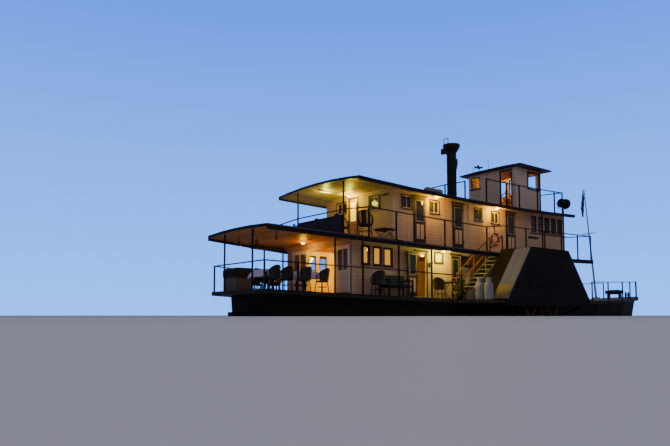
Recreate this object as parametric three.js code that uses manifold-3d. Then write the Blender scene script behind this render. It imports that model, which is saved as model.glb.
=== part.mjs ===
// A side-wheel paddle steamer with two decks, a wheelhouse, a tall funnel and an open aft dining deck.
// Millimetres, +X to the bow, +Y to port, +Z up; the origin is amidships on the centreline at the water.

import * as THREE from 'three';
import { mergeVertices } from 'three/addons/utils/BufferGeometryUtils.js';
import Module from 'manifold-3d';

const wasm = await Module();
wasm.setup();

const seat = 0.3; // gap that pieces keep where they rest on each other
const runGap = 8; // gap round a door leaf
const bearingGap = 1.2; // radial gap between a shaft's corners and its bore's corners

// The sheer: decks rise towards both ends, sampled at a fixed grid so that every surface agrees.
const sheerGrid = 2000;
const hullSheer = { rate: 1.9e-6, lowest: -2500 };
const roofSheer = { rate: 3.0e-6, lowest: -3700 };
function sheer(x, { rate, lowest } = hullSheer) {
  const curveAt = (knot) => rate * (knot - lowest) ** 2;
  const start = Math.floor(x / sheerGrid) * sheerGrid;
  return THREE.MathUtils.lerp(curveAt(start), curveAt(start + sheerGrid), (x - start) / sheerGrid);
}

// Half widths of each level, as [x, half width] from the stern forward.
const deckHalf = 3060;
const upperHalf = 3040;
const roofHalf = 2680;
const mainPlan = [
  [-14250, 1880], [-9000, deckHalf], [4600, deckHalf], [8500, 2780], [12000, 1900], [14200, 900],
  [15200, 150],
];
const upperPlan = [[-14300, 2150], [-9000, upperHalf], [4900, upperHalf]];
const roofPlan = [[-10700, roofHalf], [3900, roofHalf]];

// Levels at the lowest point of the sheer, at the edge of each deck.
const mainLevel = { edge: 665, thickness: 150, plan: mainPlan };
const upperLevel = {
  edge: 2770, crown: 150, half: upperHalf, thickness: 110, lip: 90, plan: upperPlan, curve: hullSheer,
};
const roofLevel = {
  edge: 5000, crown: 150, half: roofHalf, thickness: 90, lip: 60, plan: roofPlan, curve: roofSheer,
};
const lipWidth = 60;
const camberKnots = [0, 1000, 2000];

const cabin = { halfWidth: 2100, wall: 60, lowerAft: -10600, upperAft: -8500, forward: 3800 };
const wheelhouse = { aft: 600, forward: 2720, halfWidth: 1460, wall: 50, head: 7430 };
const wheelhouseRoof = { aft: 400, forward: 3110, half: 1900, edge: 70, crown: 110 };
const funnel = { x: -2480, radius: 230, topRadius: 410, wall: 12, top: 8290, foot: 2150 };
const paddle = { x: -1500, z: 1000, radius: 1750, inner: 3330, outer: 4200, shaftRadius: 90, arms: 10 };
const paddleBox = {
  inner: 3090, outer: 4600, wall: 50, base: 640, top: 2900,
  baseAft: -4600, baseForward: 1650, topAft: -2900, topForward: -100,
};
const stair = { foot: -5000, head: -2400, inner: 2200, outer: 2900, treads: 10 };
const handrail = { height: 850, post: 40 };
const rail = { post: 50, bar: 40, inset: 110, main: 1000, upper: 1080, upperForward: 1250, top: 1080 };
const upperRailAft = -10500;

// Geometry helpers

function planAt(plan, x) {
  const next = Math.max(1, plan.findIndex(([knot]) => knot >= x));
  const [[x0, w0], [x1, w1]] = [plan[next - 1], plan[next]];
  return w0 + ((w1 - w0) * (x - x0)) / (x1 - x0);
}

function stationsBetween(x0, x1, knots = []) {
  const inside = knots.filter((x) => x > x0 && x < x1);
  for (let x = Math.ceil(x0 / sheerGrid) * sheerGrid; x < x1; x += sheerGrid) {
    if (x > x0) inside.push(x);
  }
  return [x0, ...new Set(inside.sort((a, b) => a - b)), x1];
}

function fromGeometry(geometry) {
  const plain = geometry.index ? geometry.toNonIndexed() : geometry;
  plain.deleteAttribute('normal');
  plain.deleteAttribute('uv');
  const merged = mergeVertices(plain, 1e-3);
  return new wasm.Manifold(new wasm.Mesh({
    numProp: 3,
    vertProperties: new Float32Array(merged.attributes.position.array),
    triVerts: new Uint32Array(merged.index.array),
  }));
}

function toGeometry(solid) {
  const mesh = solid.getMesh();
  const geometry = new THREE.BufferGeometry();
  geometry.setAttribute('position', new THREE.BufferAttribute(mesh.vertProperties, 3));
  geometry.setIndex(new THREE.BufferAttribute(mesh.triVerts, 1));
  return geometry;
}

const join = (solids) => solids.reduce((sum, solid) => sum.add(solid));
const cut = (solid, cutters) => cutters.reduce((left, cutter) => left.subtract(cutter), solid);

function box(x0, x1, y0, y1, z0, z1) {
  const geometry = new THREE.BoxGeometry(x1 - x0, y1 - y0, z1 - z0);
  geometry.translate((x0 + x1) / 2, (y0 + y1) / 2, (z0 + z1) / 2);
  return fromGeometry(geometry);
}

// A bar from one point to another, round with that many sides, or square where sides is 4.
function bar(from, to, width, sides = 4, endWidth = width) {
  const start = new THREE.Vector3(...from);
  const along = new THREE.Vector3(...to).sub(start);
  const [endRadius, radius] = [endWidth, width].map((w) => (sides === 4 ? w / Math.SQRT2 : w / 2));
  const geometry = new THREE.CylinderGeometry(endRadius, radius, along.length(), sides);
  geometry.rotateY(Math.PI / 4);
  const up = new THREE.Vector3(0, 1, 0);
  geometry.applyQuaternion(new THREE.Quaternion().setFromUnitVectors(up, along.clone().normalize()));
  geometry.translate(...start.addScaledVector(along, 0.5).toArray());
  return fromGeometry(geometry);
}

// An outline of [x, z] points, extruded athwartships from y0 to y1.
function plate(outline, y0, y1) {
  const shape = new THREE.Shape(outline.map(([x, z]) => new THREE.Vector2(x, z)));
  const geometry = new THREE.ExtrudeGeometry(shape, { depth: y1 - y0, bevelEnabled: false });
  geometry.rotateX(Math.PI / 2);
  geometry.translate(0, y1, 0);
  return fromGeometry(geometry);
}

// An outline of [x, y] points, extruded upwards from z0 to z1.
function slab(outline, z0, z1) {
  const shape = new THREE.Shape(outline.map(([x, y]) => new THREE.Vector2(x, y)));
  const geometry = new THREE.ExtrudeGeometry(shape, { depth: z1 - z0, bevelEnabled: false });
  geometry.translate(0, 0, z0);
  return fromGeometry(geometry);
}

// A turned solid on a vertical axis, from a closed profile of [radius, z].
function turned(profile, x, y, sides) {
  const geometry = new THREE.LatheGeometry(profile.map(([r, z]) => new THREE.Vector2(r, z)), sides);
  geometry.rotateX(Math.PI / 2);
  geometry.translate(x, y, 0);
  return fromGeometry(geometry);
}

// A solid through cross-sections: sectionAt(x) gives the [y, z] outline, anticlockwise seen from the bow.
function loft(stations, sectionAt) {
  const rings = stations.map((x) => sectionAt(x).map(([y, z]) => new THREE.Vector3(x, y, z)));
  const count = rings[0].length;
  const corners = [];
  for (let i = 0; i + 1 < rings.length; i++) {
    for (let j = 0; j < count; j++) {
      const k = (j + 1) % count;
      corners.push(rings[i][j], rings[i][k], rings[i + 1][k], rings[i][j], rings[i + 1][k], rings[i + 1][j]);
    }
  }
  for (const [ring, facesBow] of [[rings.at(-1), true], [rings[0], false]]) {
    const flat = ring.map((p) => new THREE.Vector2(p.y, p.z));
    for (const [a, b, c] of THREE.ShapeUtils.triangulateShape(flat, [])) {
      corners.push(ring[a], facesBow ? ring[b] : ring[c], facesBow ? ring[c] : ring[b]);
    }
  }
  return fromGeometry(new THREE.BufferGeometry().setFromPoints(corners));
}

// Height of a deck's walking surface, without its sheer, at a distance from the centreline.
function camberAt(level, y) {
  return level.edge + level.crown * (1 - Math.min(1, Math.abs(y) / level.half) ** 2);
}

// The deck's surface at x, as [y, z] from starboard to port, raised by lift.
function surface(level, x, lift) {
  const knots = [...camberKnots, planAt(level.plan, x)];
  const port = knots.map((y) => [y, camberAt(level, y) + sheer(x, level.curve) + lift]);
  return [...port.slice(1).reverse().map(([y, z]) => [-y, z]), ...port];
}

function deckStations(level, x0 = level.plan[0][0], x1 = level.plan.at(-1)[0]) {
  return stationsBetween(x0, x1, level.plan.map(([x]) => x));
}

// The deck's underside at x, inside its lips, as [y, z] from starboard to port.
function underside(level, x, lift) {
  const half = planAt(level.plan, x);
  const points = surface(level, x, lift - level.thickness);
  return points.map(([y, z]) => [THREE.MathUtils.clamp(y, lipWidth - half, half - lipWidth), z]);
}

// A cambered deck of even thickness with a deeper lip along its sides.
function deck(level) {
  return loft(deckStations(level), (x) => {
    const half = planAt(level.plan, x);
    const under = underside(level, x, 0);
    const lipZ = under[0][1] - level.lip;
    return [[-half, lipZ], [lipWidth - half, lipZ], ...under, [half - lipWidth, lipZ], [half, lipZ],
      ...surface(level, x, 0).reverse()];
  });
}

// Everything below a deck's surface and its seat, for trimming what stands on it.
function belowSurface(level) {
  return loft(deckStations(level), (x) => {
    const top = surface(level, x, seat);
    const half = planAt(level.plan, x);
    return [[-half, -3000], [half, -3000], ...top.reverse()];
  });
}

// Everything above a deck's underside and its seat, for trimming what stands under it.
function aboveUnderside(level) {
  return loft(deckStations(level), (x) => {
    const under = underside(level, x, -seat);
    const half = under.at(-1)[0];
    return [...under, [half, 9500], [-half, 9500]];
  });
}

// The main deck is flat across, and narrow at the bow, so it has its own section.
function mainDeckSection(x, rise, sink) {
  const half = planAt(mainPlan, x);
  const z = mainLevel.edge + sheer(x);
  return [[-half, z - sink], [half, z - sink], [half, z + rise], [-half, z + rise]];
}
const mainTopAt = (x) => mainLevel.edge + sheer(x);
const upperTopAt = (x, y) => camberAt(upperLevel, y) + sheer(x);
const roofTopAt = (x, y) => camberAt(roofLevel, y) + sheer(x, roofSheer);

const belowMainDeck = loft(deckStations(mainLevel), (x) => mainDeckSection(x, seat, 3000));
const belowUpperDeck = belowSurface(upperLevel);
const aboveUpperUnderside = aboveUnderside(upperLevel);
const belowRoof = belowSurface(roofLevel);
const aboveRoofUnderside = aboveUnderside(roofLevel);

const part = new THREE.Group();

const paint = {
  hullBlack: [0x15171b, 0.55, 0.0],
  deckWood: [0x6d6257, 0.8, 0.0],
  cream: [0xe9dcc4, 0.6, 0.0],
  navy: [0x1d2333, 0.5, 0.0],
  darkBrown: [0x3a2117, 0.55, 0.0],
  glossBlack: [0x0f1014, 0.35, 0.1],
  orangeWood: [0xb8763d, 0.6, 0.0],
  paleGrey: [0xb4b2bb, 0.7, 0.0],
  doorWhite: [0xd9d3dc, 0.5, 0.0],
  iron: [0x2b2a2c, 0.5, 0.7],
  red: [0x8a2018, 0.5, 0.1],
  brass: [0xb08a45, 0.35, 0.9],
  steel: [0x8b8f94, 0.4, 0.8],
};

function addNode(name, solid, finish, position = [0, 0, 0], turn = 0) {
  const [color, roughness, metalness] = paint[finish];
  const material = new THREE.MeshStandardMaterial({ color, roughness, metalness });
  const mesh = new THREE.Mesh(toGeometry(solid), material);
  mesh.name = name;
  mesh.position.set(...position);
  mesh.rotation.z = turn;
  part.add(mesh);
}

const sides = [['starboard', -1], ['port', 1]];
// A box given on the port side, mirrored to starboard where side is -1.
function sideBox(side, x0, x1, y0, y1, z0, z1) {
  return side > 0 ? box(x0, x1, y0, y1, z0, z1) : box(x0, x1, -y1, -y0, z0, z1);
}

// Hull

// Columns: x, half width at the deck, half width at the bilge, half width of the floor, keel height.
const hullSections = [
  [-13500, 1720, 1600, 800, -180],
  [-12600, 1950, 1880, 1150, -480],
  [-11000, 2320, 2280, 1700, -800],
  [-8000, 2750, 2720, 2350, -900],
  [-4000, 2800, 2800, 2550, -900],
  [2000, 2800, 2800, 2550, -900],
  [6000, 2680, 2600, 2200, -900],
  [9500, 2300, 2000, 1400, -890],
  [12500, 1450, 1050, 520, -830],
  [14200, 650, 330, 120, -650],
  [14950, 140, 70, 50, -320],
];

const rudder = {
  x: -13660, low: -780, high: 480, blade: 900, thickness: 60, stock: 80, collar: 40, gudgeons: [-120, 300],
};
const gudgeon = { height: 60, half: 55 };

// Two bored brackets on the transom that hold the rudder's stock
function gudgeonsOnTransom() {
  const bore = bar([rudder.x, 0, -600], [rudder.x, 0, 600], rudder.stock + 3, 24);
  return rudder.gudgeons.map((z) => {
    const { half, height } = gudgeon;
    return box(rudder.x - half, hullSections[0][0] + 40, -half, half, z, z + height).subtract(bore);
  });
}

function buildHull() {
  const knots = hullSections.map(([x]) => x);
  const stations = stationsBetween(knots[0], knots.at(-1), knots);
  const at = (x, column) => planAt(hullSections.map((row) => [row[0], row[column]]), x);
  const body = loft(stations, (x) => {
    const [top, bilge, floor, keel] = [1, 2, 3, 4].map((column) => at(x, column));
    const topZ = mainTopAt(x) - mainLevel.thickness - seat;
    const port = [[floor, keel + 70], [bilge, keel * 0.4], [top, topZ]];
    return [[0, keel], ...port, ...port.map(([y, z]) => [-y, z]).reverse()];
  });
  return join([body, ...gudgeonsOnTransom()]);
}

// Main deck with its guards beside the paddle boxes, the shaft's pillow blocks and the mooring bitts

const guard = { depth: 120, aftTip: -6000, forwardTip: 3000, reach: 4500 };

function buildMainDeck() {
  const pieces = [loft(deckStations(mainLevel), (x) => mainDeckSection(x, 0, mainLevel.thickness))];
  const guardTop = paddleBox.base - seat;
  for (const [, side] of sides) {
    const aft = [[guard.aftTip, 2900], [guard.aftTip, deckHalf], [paddleBox.baseAft - 20, guard.reach],
      [paddleBox.baseAft - 20, 2900]];
    const forward = [[guard.forwardTip, 2900], [guard.forwardTip, deckHalf],
      [paddleBox.baseForward + 20, guard.reach], [paddleBox.baseForward + 20, 2900]];
    for (const outline of [aft, forward]) {
      const turnedOutline = outline.map(([x, y]) => [x, y * side]);
      pieces.push(slab(turnedOutline, guardTop - guard.depth, guardTop));
    }
    pieces.push(sideBox(side, paddle.x - 170, paddle.x + 170, 2450, 2650, 600, paddle.z + 190));
  }
  for (const [x, y] of [[11500, 1500], [-12750, 1880]]) {
    for (const [, side] of sides) {
      for (const offset of [-160, 160]) {
        const foot = mainTopAt(x) - 40;
        pieces.push(bar([x + offset, y * side, foot], [x + offset, y * side, foot + 420], 110, 8));
      }
      const bitt = mainTopAt(x) + 210;
      pieces.push(bar([x - 260, y * side, bitt], [x + 260, y * side, bitt], 60));
    }
  }
  const bore = (paddle.shaftRadius + bearingGap) * 2;
  return join(pieces).subtract(bar([paddle.x, -3000, paddle.z], [paddle.x, 3000, paddle.z], bore, 24));
}

// Sponson: the frame outboard of the hull that carries a paddle box and the shaft's outer bearing

function buildSponson(side) {
  const { baseAft, baseForward, base, outer } = paddleBox;
  const beam = { depth: 210, width: 230 };
  const top = base - seat;
  const hullSide = 2900;
  const pieces = [
    sideBox(side, baseAft, baseForward, outer - beam.width, outer, top - beam.depth, top),
    sideBox(side, baseAft, baseAft + beam.width, deckHalf + seat, outer, top - beam.depth, top),
    sideBox(side, baseForward - beam.width, baseForward, deckHalf + seat, outer, top - beam.depth, top),
    sideBox(side, paddle.x - 150, paddle.x + 150, outer - 190, outer - 60, top - 20, paddle.z + 170),
  ];
  for (const x of [baseAft + beam.width / 2, baseForward - beam.width / 2]) {
    pieces.push(bar([x, side * (outer - 200), top - 150], [x, side * (hullSide + 10), -50], 110));
  }
  const bore = bar([paddle.x, side * 3000, paddle.z], [paddle.x, side * 4700, paddle.z],
    (paddle.shaftRadius + bearingGap) * 2, 24);
  const hullTrim = sideBox(side, -6000, 3000, 2000, 2800 + 15, -1200, 600);
  return cut(join(pieces), [bore, hullTrim]);
}

// Paddle box: a hollow trapezoid housing, open below, round the upper half of a paddle wheel

function boxOutline(inset) {
  const { baseAft, baseForward, topAft, topForward, base, top } = paddleBox;
  const low = inset ? base - 200 : base;
  const slopeShift = inset * 1.25;
  const lean = inset ? (200 * (topAft - baseAft)) / (top - base) : 0;
  return [
    [baseAft + slopeShift - lean, low], [baseForward - slopeShift + lean, low],
    [topForward - inset * 0.55, top - inset], [topAft + inset * 0.55, top - inset],
  ];
}

function buildPaddleBox(side) {
  const { inner, outer, wall } = paddleBox;
  const [y0, y1] = side > 0 ? [inner, outer] : [-outer, -inner];
  const shell = plate(boxOutline(0), y0, y1);
  const hollow = plate(boxOutline(wall), y0 + wall, y1 - wall);
  const shaftHole = bar([paddle.x, side * 2900, paddle.z], [paddle.x, side * 3300, paddle.z], 260, 24);
  return cut(shell, [hollow, shaftHole]);
}

// Both paddle wheels and their shaft, which turn together

// One side frame of a wheel: a rim, arms and a hub cut from a single plate, with its inner face at y.
function wheelFrame(y) {
  const { x, z, radius, arms } = paddle;
  const frame = { rim: 1420, rimWidth: 90, arm: 80, hub: 240, thickness: 50 };
  const step = (2 * Math.PI) / arms;
  const point = (r, angle) => new THREE.Vector2(x + r * Math.sin(angle), z + r * Math.cos(angle));
  const outline = [];
  for (let i = 0; i < arms; i++) {
    const half = Math.asin(frame.arm / 2 / radius);
    const root = Math.asin(frame.arm / 2 / frame.rim);
    outline.push(point(frame.rim, i * step - root), point(radius - 40, i * step - half));
    outline.push(point(radius - 40, i * step + half), point(frame.rim, i * step + root));
    outline.push(point(frame.rim, (i + 0.5) * step));
  }
  const shape = new THREE.Shape(outline.reverse());
  const inside = frame.rim - frame.rimWidth;
  for (let i = 0; i < arms; i++) {
    const low = Math.asin(frame.arm / 2 / frame.hub);
    const high = Math.asin(frame.arm / 2 / inside);
    shape.holes.push(new THREE.Path([
      point(frame.hub, i * step + low), point(inside, i * step + high), point(inside, (i + 0.5) * step),
      point(inside, (i + 1) * step - high), point(frame.hub, (i + 1) * step - low),
    ]));
  }
  const geometry = new THREE.ExtrudeGeometry(shape, { depth: frame.thickness, bevelEnabled: false });
  geometry.rotateX(Math.PI / 2);
  geometry.translate(0, y + frame.thickness / 2, 0);
  return fromGeometry(geometry);
}

function buildPaddleWheels() {
  const { x, z, radius, inner, outer, shaftRadius, arms } = paddle;
  const float = { height: 420, thickness: 45, lead: 25 };
  const frameInset = 110;
  const pieces = [bar([x, -4480, z], [x, 4480, z], shaftRadius * 2, 20)];
  for (const [, side] of sides) {
    const frames = [inner + frameInset, outer - frameInset].map((y) => y * side);
    pieces.push(...frames.map(wheelFrame));
    const [y0, y1] = side > 0 ? [inner, outer] : [-outer, -inner];
    for (let i = 0; i < arms; i++) {
      const [back, top] = [x + float.lead, z + radius];
      const board = box(back, back + float.thickness, y0, y1, top - float.height, top);
      pieces.push(board.translate([-x, 0, -z]).rotate([0, (i * 360) / arms, 0]).translate([x, 0, z]));
    }
  }
  return join(pieces);
}

// Walls: each is a flat panel trimmed to the deck below and the deck above, with its openings cut

// Columns: x0, x1, z0, z1, given at the lowest point of the sheer.
const lowerWindows = [
  [-10100, -9750, 1860, 2540], [-9500, -9130, 1860, 2540], [-8950, -8550, 1860, 2540],
  [-4340, -3900, 2170, 2560], [2150, 2950, 1900, 2500],
];
const upperWindows = [
  [-7960, -7430, 4280, 4800], [-6330, -5800, 4270, 4790], [-3400, -2940, 4270, 4800],
  [-2240, -1700, 4240, 4770],
];
const stripWindow = { from: 850, to: 3700, count: 5, mullion: 70, low: 4080, high: 4880 };
const stripPitch = (stripWindow.to - stripWindow.from) / stripWindow.count;
for (let i = 0; i < stripWindow.count; i++) {
  const x0 = stripWindow.from + i * stripPitch;
  upperWindows.push([x0, x0 + stripPitch - stripWindow.mullion, stripWindow.low, stripWindow.high]);
}

// Columns: name, opening x0 and x1, top of the opening, hinge at x0 or x1, degrees open as it stands,
// whether it opens inwards.
const lowerDoors = [
  { name: 'passage', x0: -7200, x1: -6600, head: 2560, hinge: 'x0', open: 174, inwards: false },
  { name: 'galley', x0: -5030, x1: -4460, head: 2560, hinge: 'x0', open: 0, inwards: true },
];
const upperDoors = [
  { name: 'aft_cabin', x0: -7270, x1: -6600, head: 4820, hinge: 'x1', open: 0, inwards: false },
  { name: 'middle_cabin', x0: -4880, x1: -4200, head: 4820, hinge: 'x1', open: 0, inwards: false },
  { name: 'forward_cabin', x0: -1100, x1: -400, head: 4820, hinge: 'x1', open: 0, inwards: false },
];
const sill = 90;
const leaf = { thickness: 40, knuckle: 20, reach: 15, hingeHeight: 80 };

const lowerSill = (door) => Math.max(mainTopAt(door.x0), mainTopAt(door.x1)) + sill;
const upperSill = (door) => Math.max(upperTopAt(door.x0, 2100), upperTopAt(door.x1, 2100)) + sill;

// The two heights at which a leaf's lower knuckle meets the one on the wall.
const hingeHeights = (low, high) => [low + 220, high - 220];

// Half a hinge at the local origin: a knuckle and the strap that ties it to what lies towards +x or -x.
function hingeHalf(z0, z1, towards, out) {
  const knuckle = bar([0, out * leaf.reach, z0], [0, out * leaf.reach, z1], leaf.knuckle, 6);
  const [x0, x1] = towards > 0 ? [2, 42] : [-42, -2];
  const [y0, y1] = out > 0 ? [-2, leaf.reach + 3] : [-leaf.reach - 3, 2];
  return knuckle.add(box(x0, x1, y0, y1, z0, z1));
}

// A leaf closed in its opening, its hinge axis at the origin; it runs to +x, and out is the wall's face.
function doorLeaf(width, low, high, out) {
  const y = out > 0 ? [-leaf.thickness, 0] : [0, leaf.thickness];
  const bottom = low + runGap;
  const top = high - runGap;
  let solid = box(runGap, width - runGap, ...y, bottom, top);
  const pane = { side: 95, low: bottom + (top - bottom) * 0.48, high: top - 130 };
  const inset = runGap + pane.side;
  solid = solid.subtract(box(inset, width - inset, -100, 100, pane.low, pane.high));
  const knuckles = hingeHeights(low, high).map((z) => hingeHalf(z, z + leaf.hingeHeight, 1, out));
  return join([solid, ...knuckles]).translate([0, -out * leaf.reach, 0]);
}

// The leaf on a wall that faces along Y, mirrored and turned to where it stands.
function placeDoor(name, door, low, side) {
  const out = door.inwards ? -side : side;
  const face = side * (door.inwards ? cabin.halfWidth - cabin.wall : cabin.halfWidth);
  const width = door.x1 - door.x0;
  let solid = doorLeaf(width, low, door.head + sheer(door.x1), out);
  if (door.hinge === 'x1') solid = solid.mirror([1, 0, 0]);
  const direction = (door.hinge === 'x0' ? 1 : -1) * out;
  const hingeX = door.hinge === 'x0' ? door.x0 : door.x1;
  addNode(name, solid, 'darkBrown', [hingeX, face + out * leaf.reach, 0],
    THREE.MathUtils.degToRad(door.open) * direction);
}

function sideWall(side, x0, x1, z0, z1, windows, doors, sillOf, trims) {
  const { halfWidth, wall } = cabin;
  let solid = sideBox(side, x0, x1, halfWidth - wall, halfWidth, z0, z1);
  solid = cut(solid, trims);
  for (const [wx0, wx1, wz0, wz1] of windows) {
    const lift = sheer((wx0 + wx1) / 2);
    solid = solid.subtract(sideBox(side, wx0, wx1, 1900, 2300, wz0 + lift, wz1 + lift));
  }
  for (const door of doors) {
    const low = sillOf(door);
    const high = door.head + sheer(door.x1);
    solid = solid.subtract(sideBox(side, door.x0, door.x1, 1900, 2300, low, high));
    const out = door.inwards ? -side : side;
    const face = side * (door.inwards ? halfWidth - wall : halfWidth);
    const [hingeX, towards] = door.hinge === 'x0' ? [door.x0, -1] : [door.x1, 1];
    for (const z of hingeHeights(low, high)) {
      const half = hingeHalf(z - leaf.hingeHeight - seat, z - seat, towards, out);
      solid = solid.add(half.translate([hingeX, face, 0]));
    }
  }
  return solid;
}

// An end wall between the side walls, facing along X.
function endWall(x, z0, z1, holes, trims) {
  const clear = cabin.halfWidth - cabin.wall - seat;
  const solid = box(x, x + cabin.wall, -clear, clear, z0, z1);
  const cutters = holes.map(([y0, y1, low, high]) => box(x - 100, x + cabin.wall + 100, y0, y1, low, high));
  return cut(solid, [...trims, ...cutters]);
}

function buildLowerCabin() {
  const trims = [belowMainDeck, aboveUpperUnderside];
  const shaftHole = bar([paddle.x, -3000, paddle.z], [paddle.x, 3000, paddle.z], 260, 24);
  for (const [name, side] of sides) {
    const wall = sideWall(side, cabin.lowerAft, cabin.forward, 300, 3600, lowerWindows, lowerDoors, lowerSill,
      [...trims, shaftHole]);
    addNode(`main_cabin_wall_${name}`, wall, 'cream');
    for (const door of lowerDoors) placeDoor(`${door.name}_door_${name}`, door, lowerSill(door), side);
  }
  const aftFloor = mainTopAt(cabin.lowerAft) + sill;
  let aft = endWall(cabin.lowerAft, 300, 3600,
    [[saloon.starboard, saloon.port, aftFloor, saloon.head]], trims);
  for (const [y, towards] of [[saloon.starboard, -1], [saloon.port, 1]]) {
    for (const z of hingeHeights(aftFloor, saloon.head)) {
      const half = hingeHalf(z - leaf.hingeHeight - seat, z - seat, towards, 1);
      aft = aft.add(half.rotate([0, 0, 90]).translate([cabin.lowerAft, y, 0]));
    }
  }
  addNode('main_cabin_wall_aft', aft, 'cream');
  const forward = endWall(cabin.forward - cabin.wall, 300, 3600,
    [[-1500, -600, 1900, 2500], [600, 1500, 1900, 2500]], trims);
  addNode('main_cabin_wall_forward', forward, 'cream');
}

// The saloon's double doors in the aft wall, which stand folded back against it
const saloon = { starboard: -1270, port: 570, head: 2640, open: 172 };

function buildSaloonDoors() {
  const low = mainTopAt(cabin.lowerAft) + sill;
  const width = (saloon.port - saloon.starboard) / 2 + runGap / 2;
  for (const [name, y, quarter] of [['starboard', saloon.starboard, 1], ['port', saloon.port, -1]]) {
    let solid = doorLeaf(width, low, saloon.head, 1);
    if (quarter < 0) solid = solid.mirror([1, 0, 0]);
    addNode(`saloon_door_${name}`, solid, 'doorWhite', [cabin.lowerAft - leaf.reach, y, 0],
      Math.PI / 2 + quarter * THREE.MathUtils.degToRad(saloon.open));
  }
}

function buildUpperCabin() {
  const trims = [belowUpperDeck, aboveRoofUnderside];
  for (const [name, side] of sides) {
    const wall = sideWall(side, cabin.upperAft, cabin.forward, 2500, 5600, upperWindows, upperDoors,
      upperSill, trims);
    addNode(`upper_cabin_wall_${name}`, wall, 'cream');
    for (const door of upperDoors) placeDoor(`${door.name}_door_${name}`, door, upperSill(door), side);
  }
  addNode('upper_cabin_wall_aft', endWall(cabin.upperAft, 2500, 5600,
    [[-1350, -750, 4400, 4880], [750, 1350, 4400, 4880]], trims), 'cream');
  addNode('upper_cabin_wall_forward', endWall(cabin.forward - cabin.wall, 2500, 5600,
    [[-1850, -950, 4080, 4880], [-750, -80, 4080, 4880], [80, 750, 4080, 4880], [950, 1850, 4080, 4880]],
    trims), 'cream');
}

// Wheelhouse on the roof, with a doorway and a small window aft and open windows forward and at the sides

const wheelhouseHoles = {
  doorway: { from: -1200, to: -580, high: 7330 }, aftWindow: { from: 730, to: 1310, low: 6680, high: 7280 },
  sideWindow: { from: 1650, to: 2640, low: 6450, high: 7310 },
};

function buildWheelhouse() {
  const { aft, forward, halfWidth, wall, head } = wheelhouse;
  const { doorway, aftWindow, sideWindow } = wheelhouseHoles;
  const shell = box(aft, forward, -halfWidth, halfWidth, 4900, head);
  const room = box(aft + wall, forward - wall, -halfWidth + wall, halfWidth - wall, 4800, head + 100);
  const doorSill = roofTopAt(aft, halfWidth) + 150;
  const openings = [
    box(aft - 50, aft + 100, doorway.from, doorway.to, doorSill, doorway.high),
    box(aft - 50, aft + 100, aftWindow.from, aftWindow.to, aftWindow.low, aftWindow.high),
  ];
  for (const [y0, y1] of [[-1250, -500], [-400, 400], [500, 1250]]) {
    openings.push(box(forward - 100, forward + 50, y0, y1, sideWindow.low, sideWindow.high));
  }
  for (const [, side] of sides) {
    openings.push(sideBox(side, sideWindow.from, sideWindow.to, halfWidth - 100, halfWidth + 100,
      sideWindow.low, sideWindow.high));
  }
  addNode('wheelhouse_walls', cut(shell, [room, belowRoof, ...openings]), 'cream');
  const { half, edge, crown } = wheelhouseRoof;
  const roof = loft([wheelhouseRoof.aft, wheelhouseRoof.forward], () => [
    [-half, head + seat], [half, head + seat], [half, head + edge], [half / 2, head + crown],
    [-half / 2, head + crown], [-half, head + edge],
  ]);
  addNode('wheelhouse_roof', roof, 'darkBrown');
}

const helm = { x: 1800, z: 6080, radius: 540, pin: 20 };

function buildHelm() {
  const stand = join([
    box(helm.x + 70, helm.x + 250, -90, 90, 4900, helm.z + 120),
    bar([helm.x - 70, 0, helm.z], [helm.x + 100, 0, helm.z], helm.pin * 2, 16),
  ]);
  addNode('helm_stand', stand.subtract(belowRoof), 'orangeWood');
  const ring = { outer: 400, inner: 350, depth: 40, sides: 16 };
  const disc = (radius, depth, count) => {
    const [from, to] = [-depth / 2, depth / 2].map((offset) => [helm.x + offset, 0, helm.z]);
    return bar(from, to, radius * 2, count);
  };
  const rim = disc(ring.outer, ring.depth, ring.sides).subtract(disc(ring.inner, ring.depth * 2, ring.sides));
  const pieces = [rim, disc(80, 90, 16)];
  const spokes = 6;
  for (let i = 0; i < spokes; i++) {
    const angle = (i * 2 * Math.PI) / spokes;
    const [y, z] = [Math.sin(angle), Math.cos(angle)];
    const [from, to] = [60, helm.radius].map((r) => [helm.x, y * r, helm.z + z * r]);
    pieces.push(bar(from, to, 34));
  }
  const bore = disc(helm.pin + 0.8, 300, 16);
  addNode('helm_wheel', join(pieces).subtract(bore), 'orangeWood');
}

// Funnel with a flared top, standing on the boiler, with its crown bracket, a floodlight and a whistle
const floodlight = { out: 420, z: 7900, width: 300, height: 260, depth: 110 };
const crownBracket = { half: 130, rise: 240, width: 36 };
const whistle = { out: 90, half: 50, low: 7080, high: 7420 };

function buildFunnel() {
  const { x, radius, topRadius, wall, top, foot } = funnel;
  const flare = top - 420;
  const profile = [
    [radius - wall, foot], [radius, foot], [radius, flare], [topRadius, top - 120], [topRadius, top],
    [topRadius - wall, top], [topRadius - wall, top - 120], [radius - wall, flare], [radius - wall, foot],
  ];
  const pipe = turned(profile, x, 0, 24);
  const { out, z, width, height, depth } = floodlight;
  const rim = topRadius - wall / 2;
  const crownTop = top + crownBracket.rise;
  const pieces = [
    pipe,
    box(x - out - depth, x - out, -width / 2 + 60, width / 2 + 60, z - height / 2, z + height / 2),
    bar([x - radius + 5, 0, z - 200], [x - out - depth / 2, 0, z - height / 4], 50),
    box(x + radius - 8, x + radius + whistle.out, -whistle.half, whistle.half, whistle.low, whistle.high),
    bar([x - rim + 20, -crownBracket.half, crownTop], [x - rim + 20, crownBracket.half, crownTop],
      crownBracket.width, 8),
  ];
  for (const y of [-crownBracket.half, crownBracket.half]) {
    const lean = rim - Math.sqrt(rim ** 2 - y ** 2);
    pieces.push(bar([x - rim + lean, y, top - 80], [x - rim + 20, y, crownTop], crownBracket.width, 8));
  }
  return join(pieces);
}

// Stairs beside each paddle box, from the main deck to the upper deck

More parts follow.
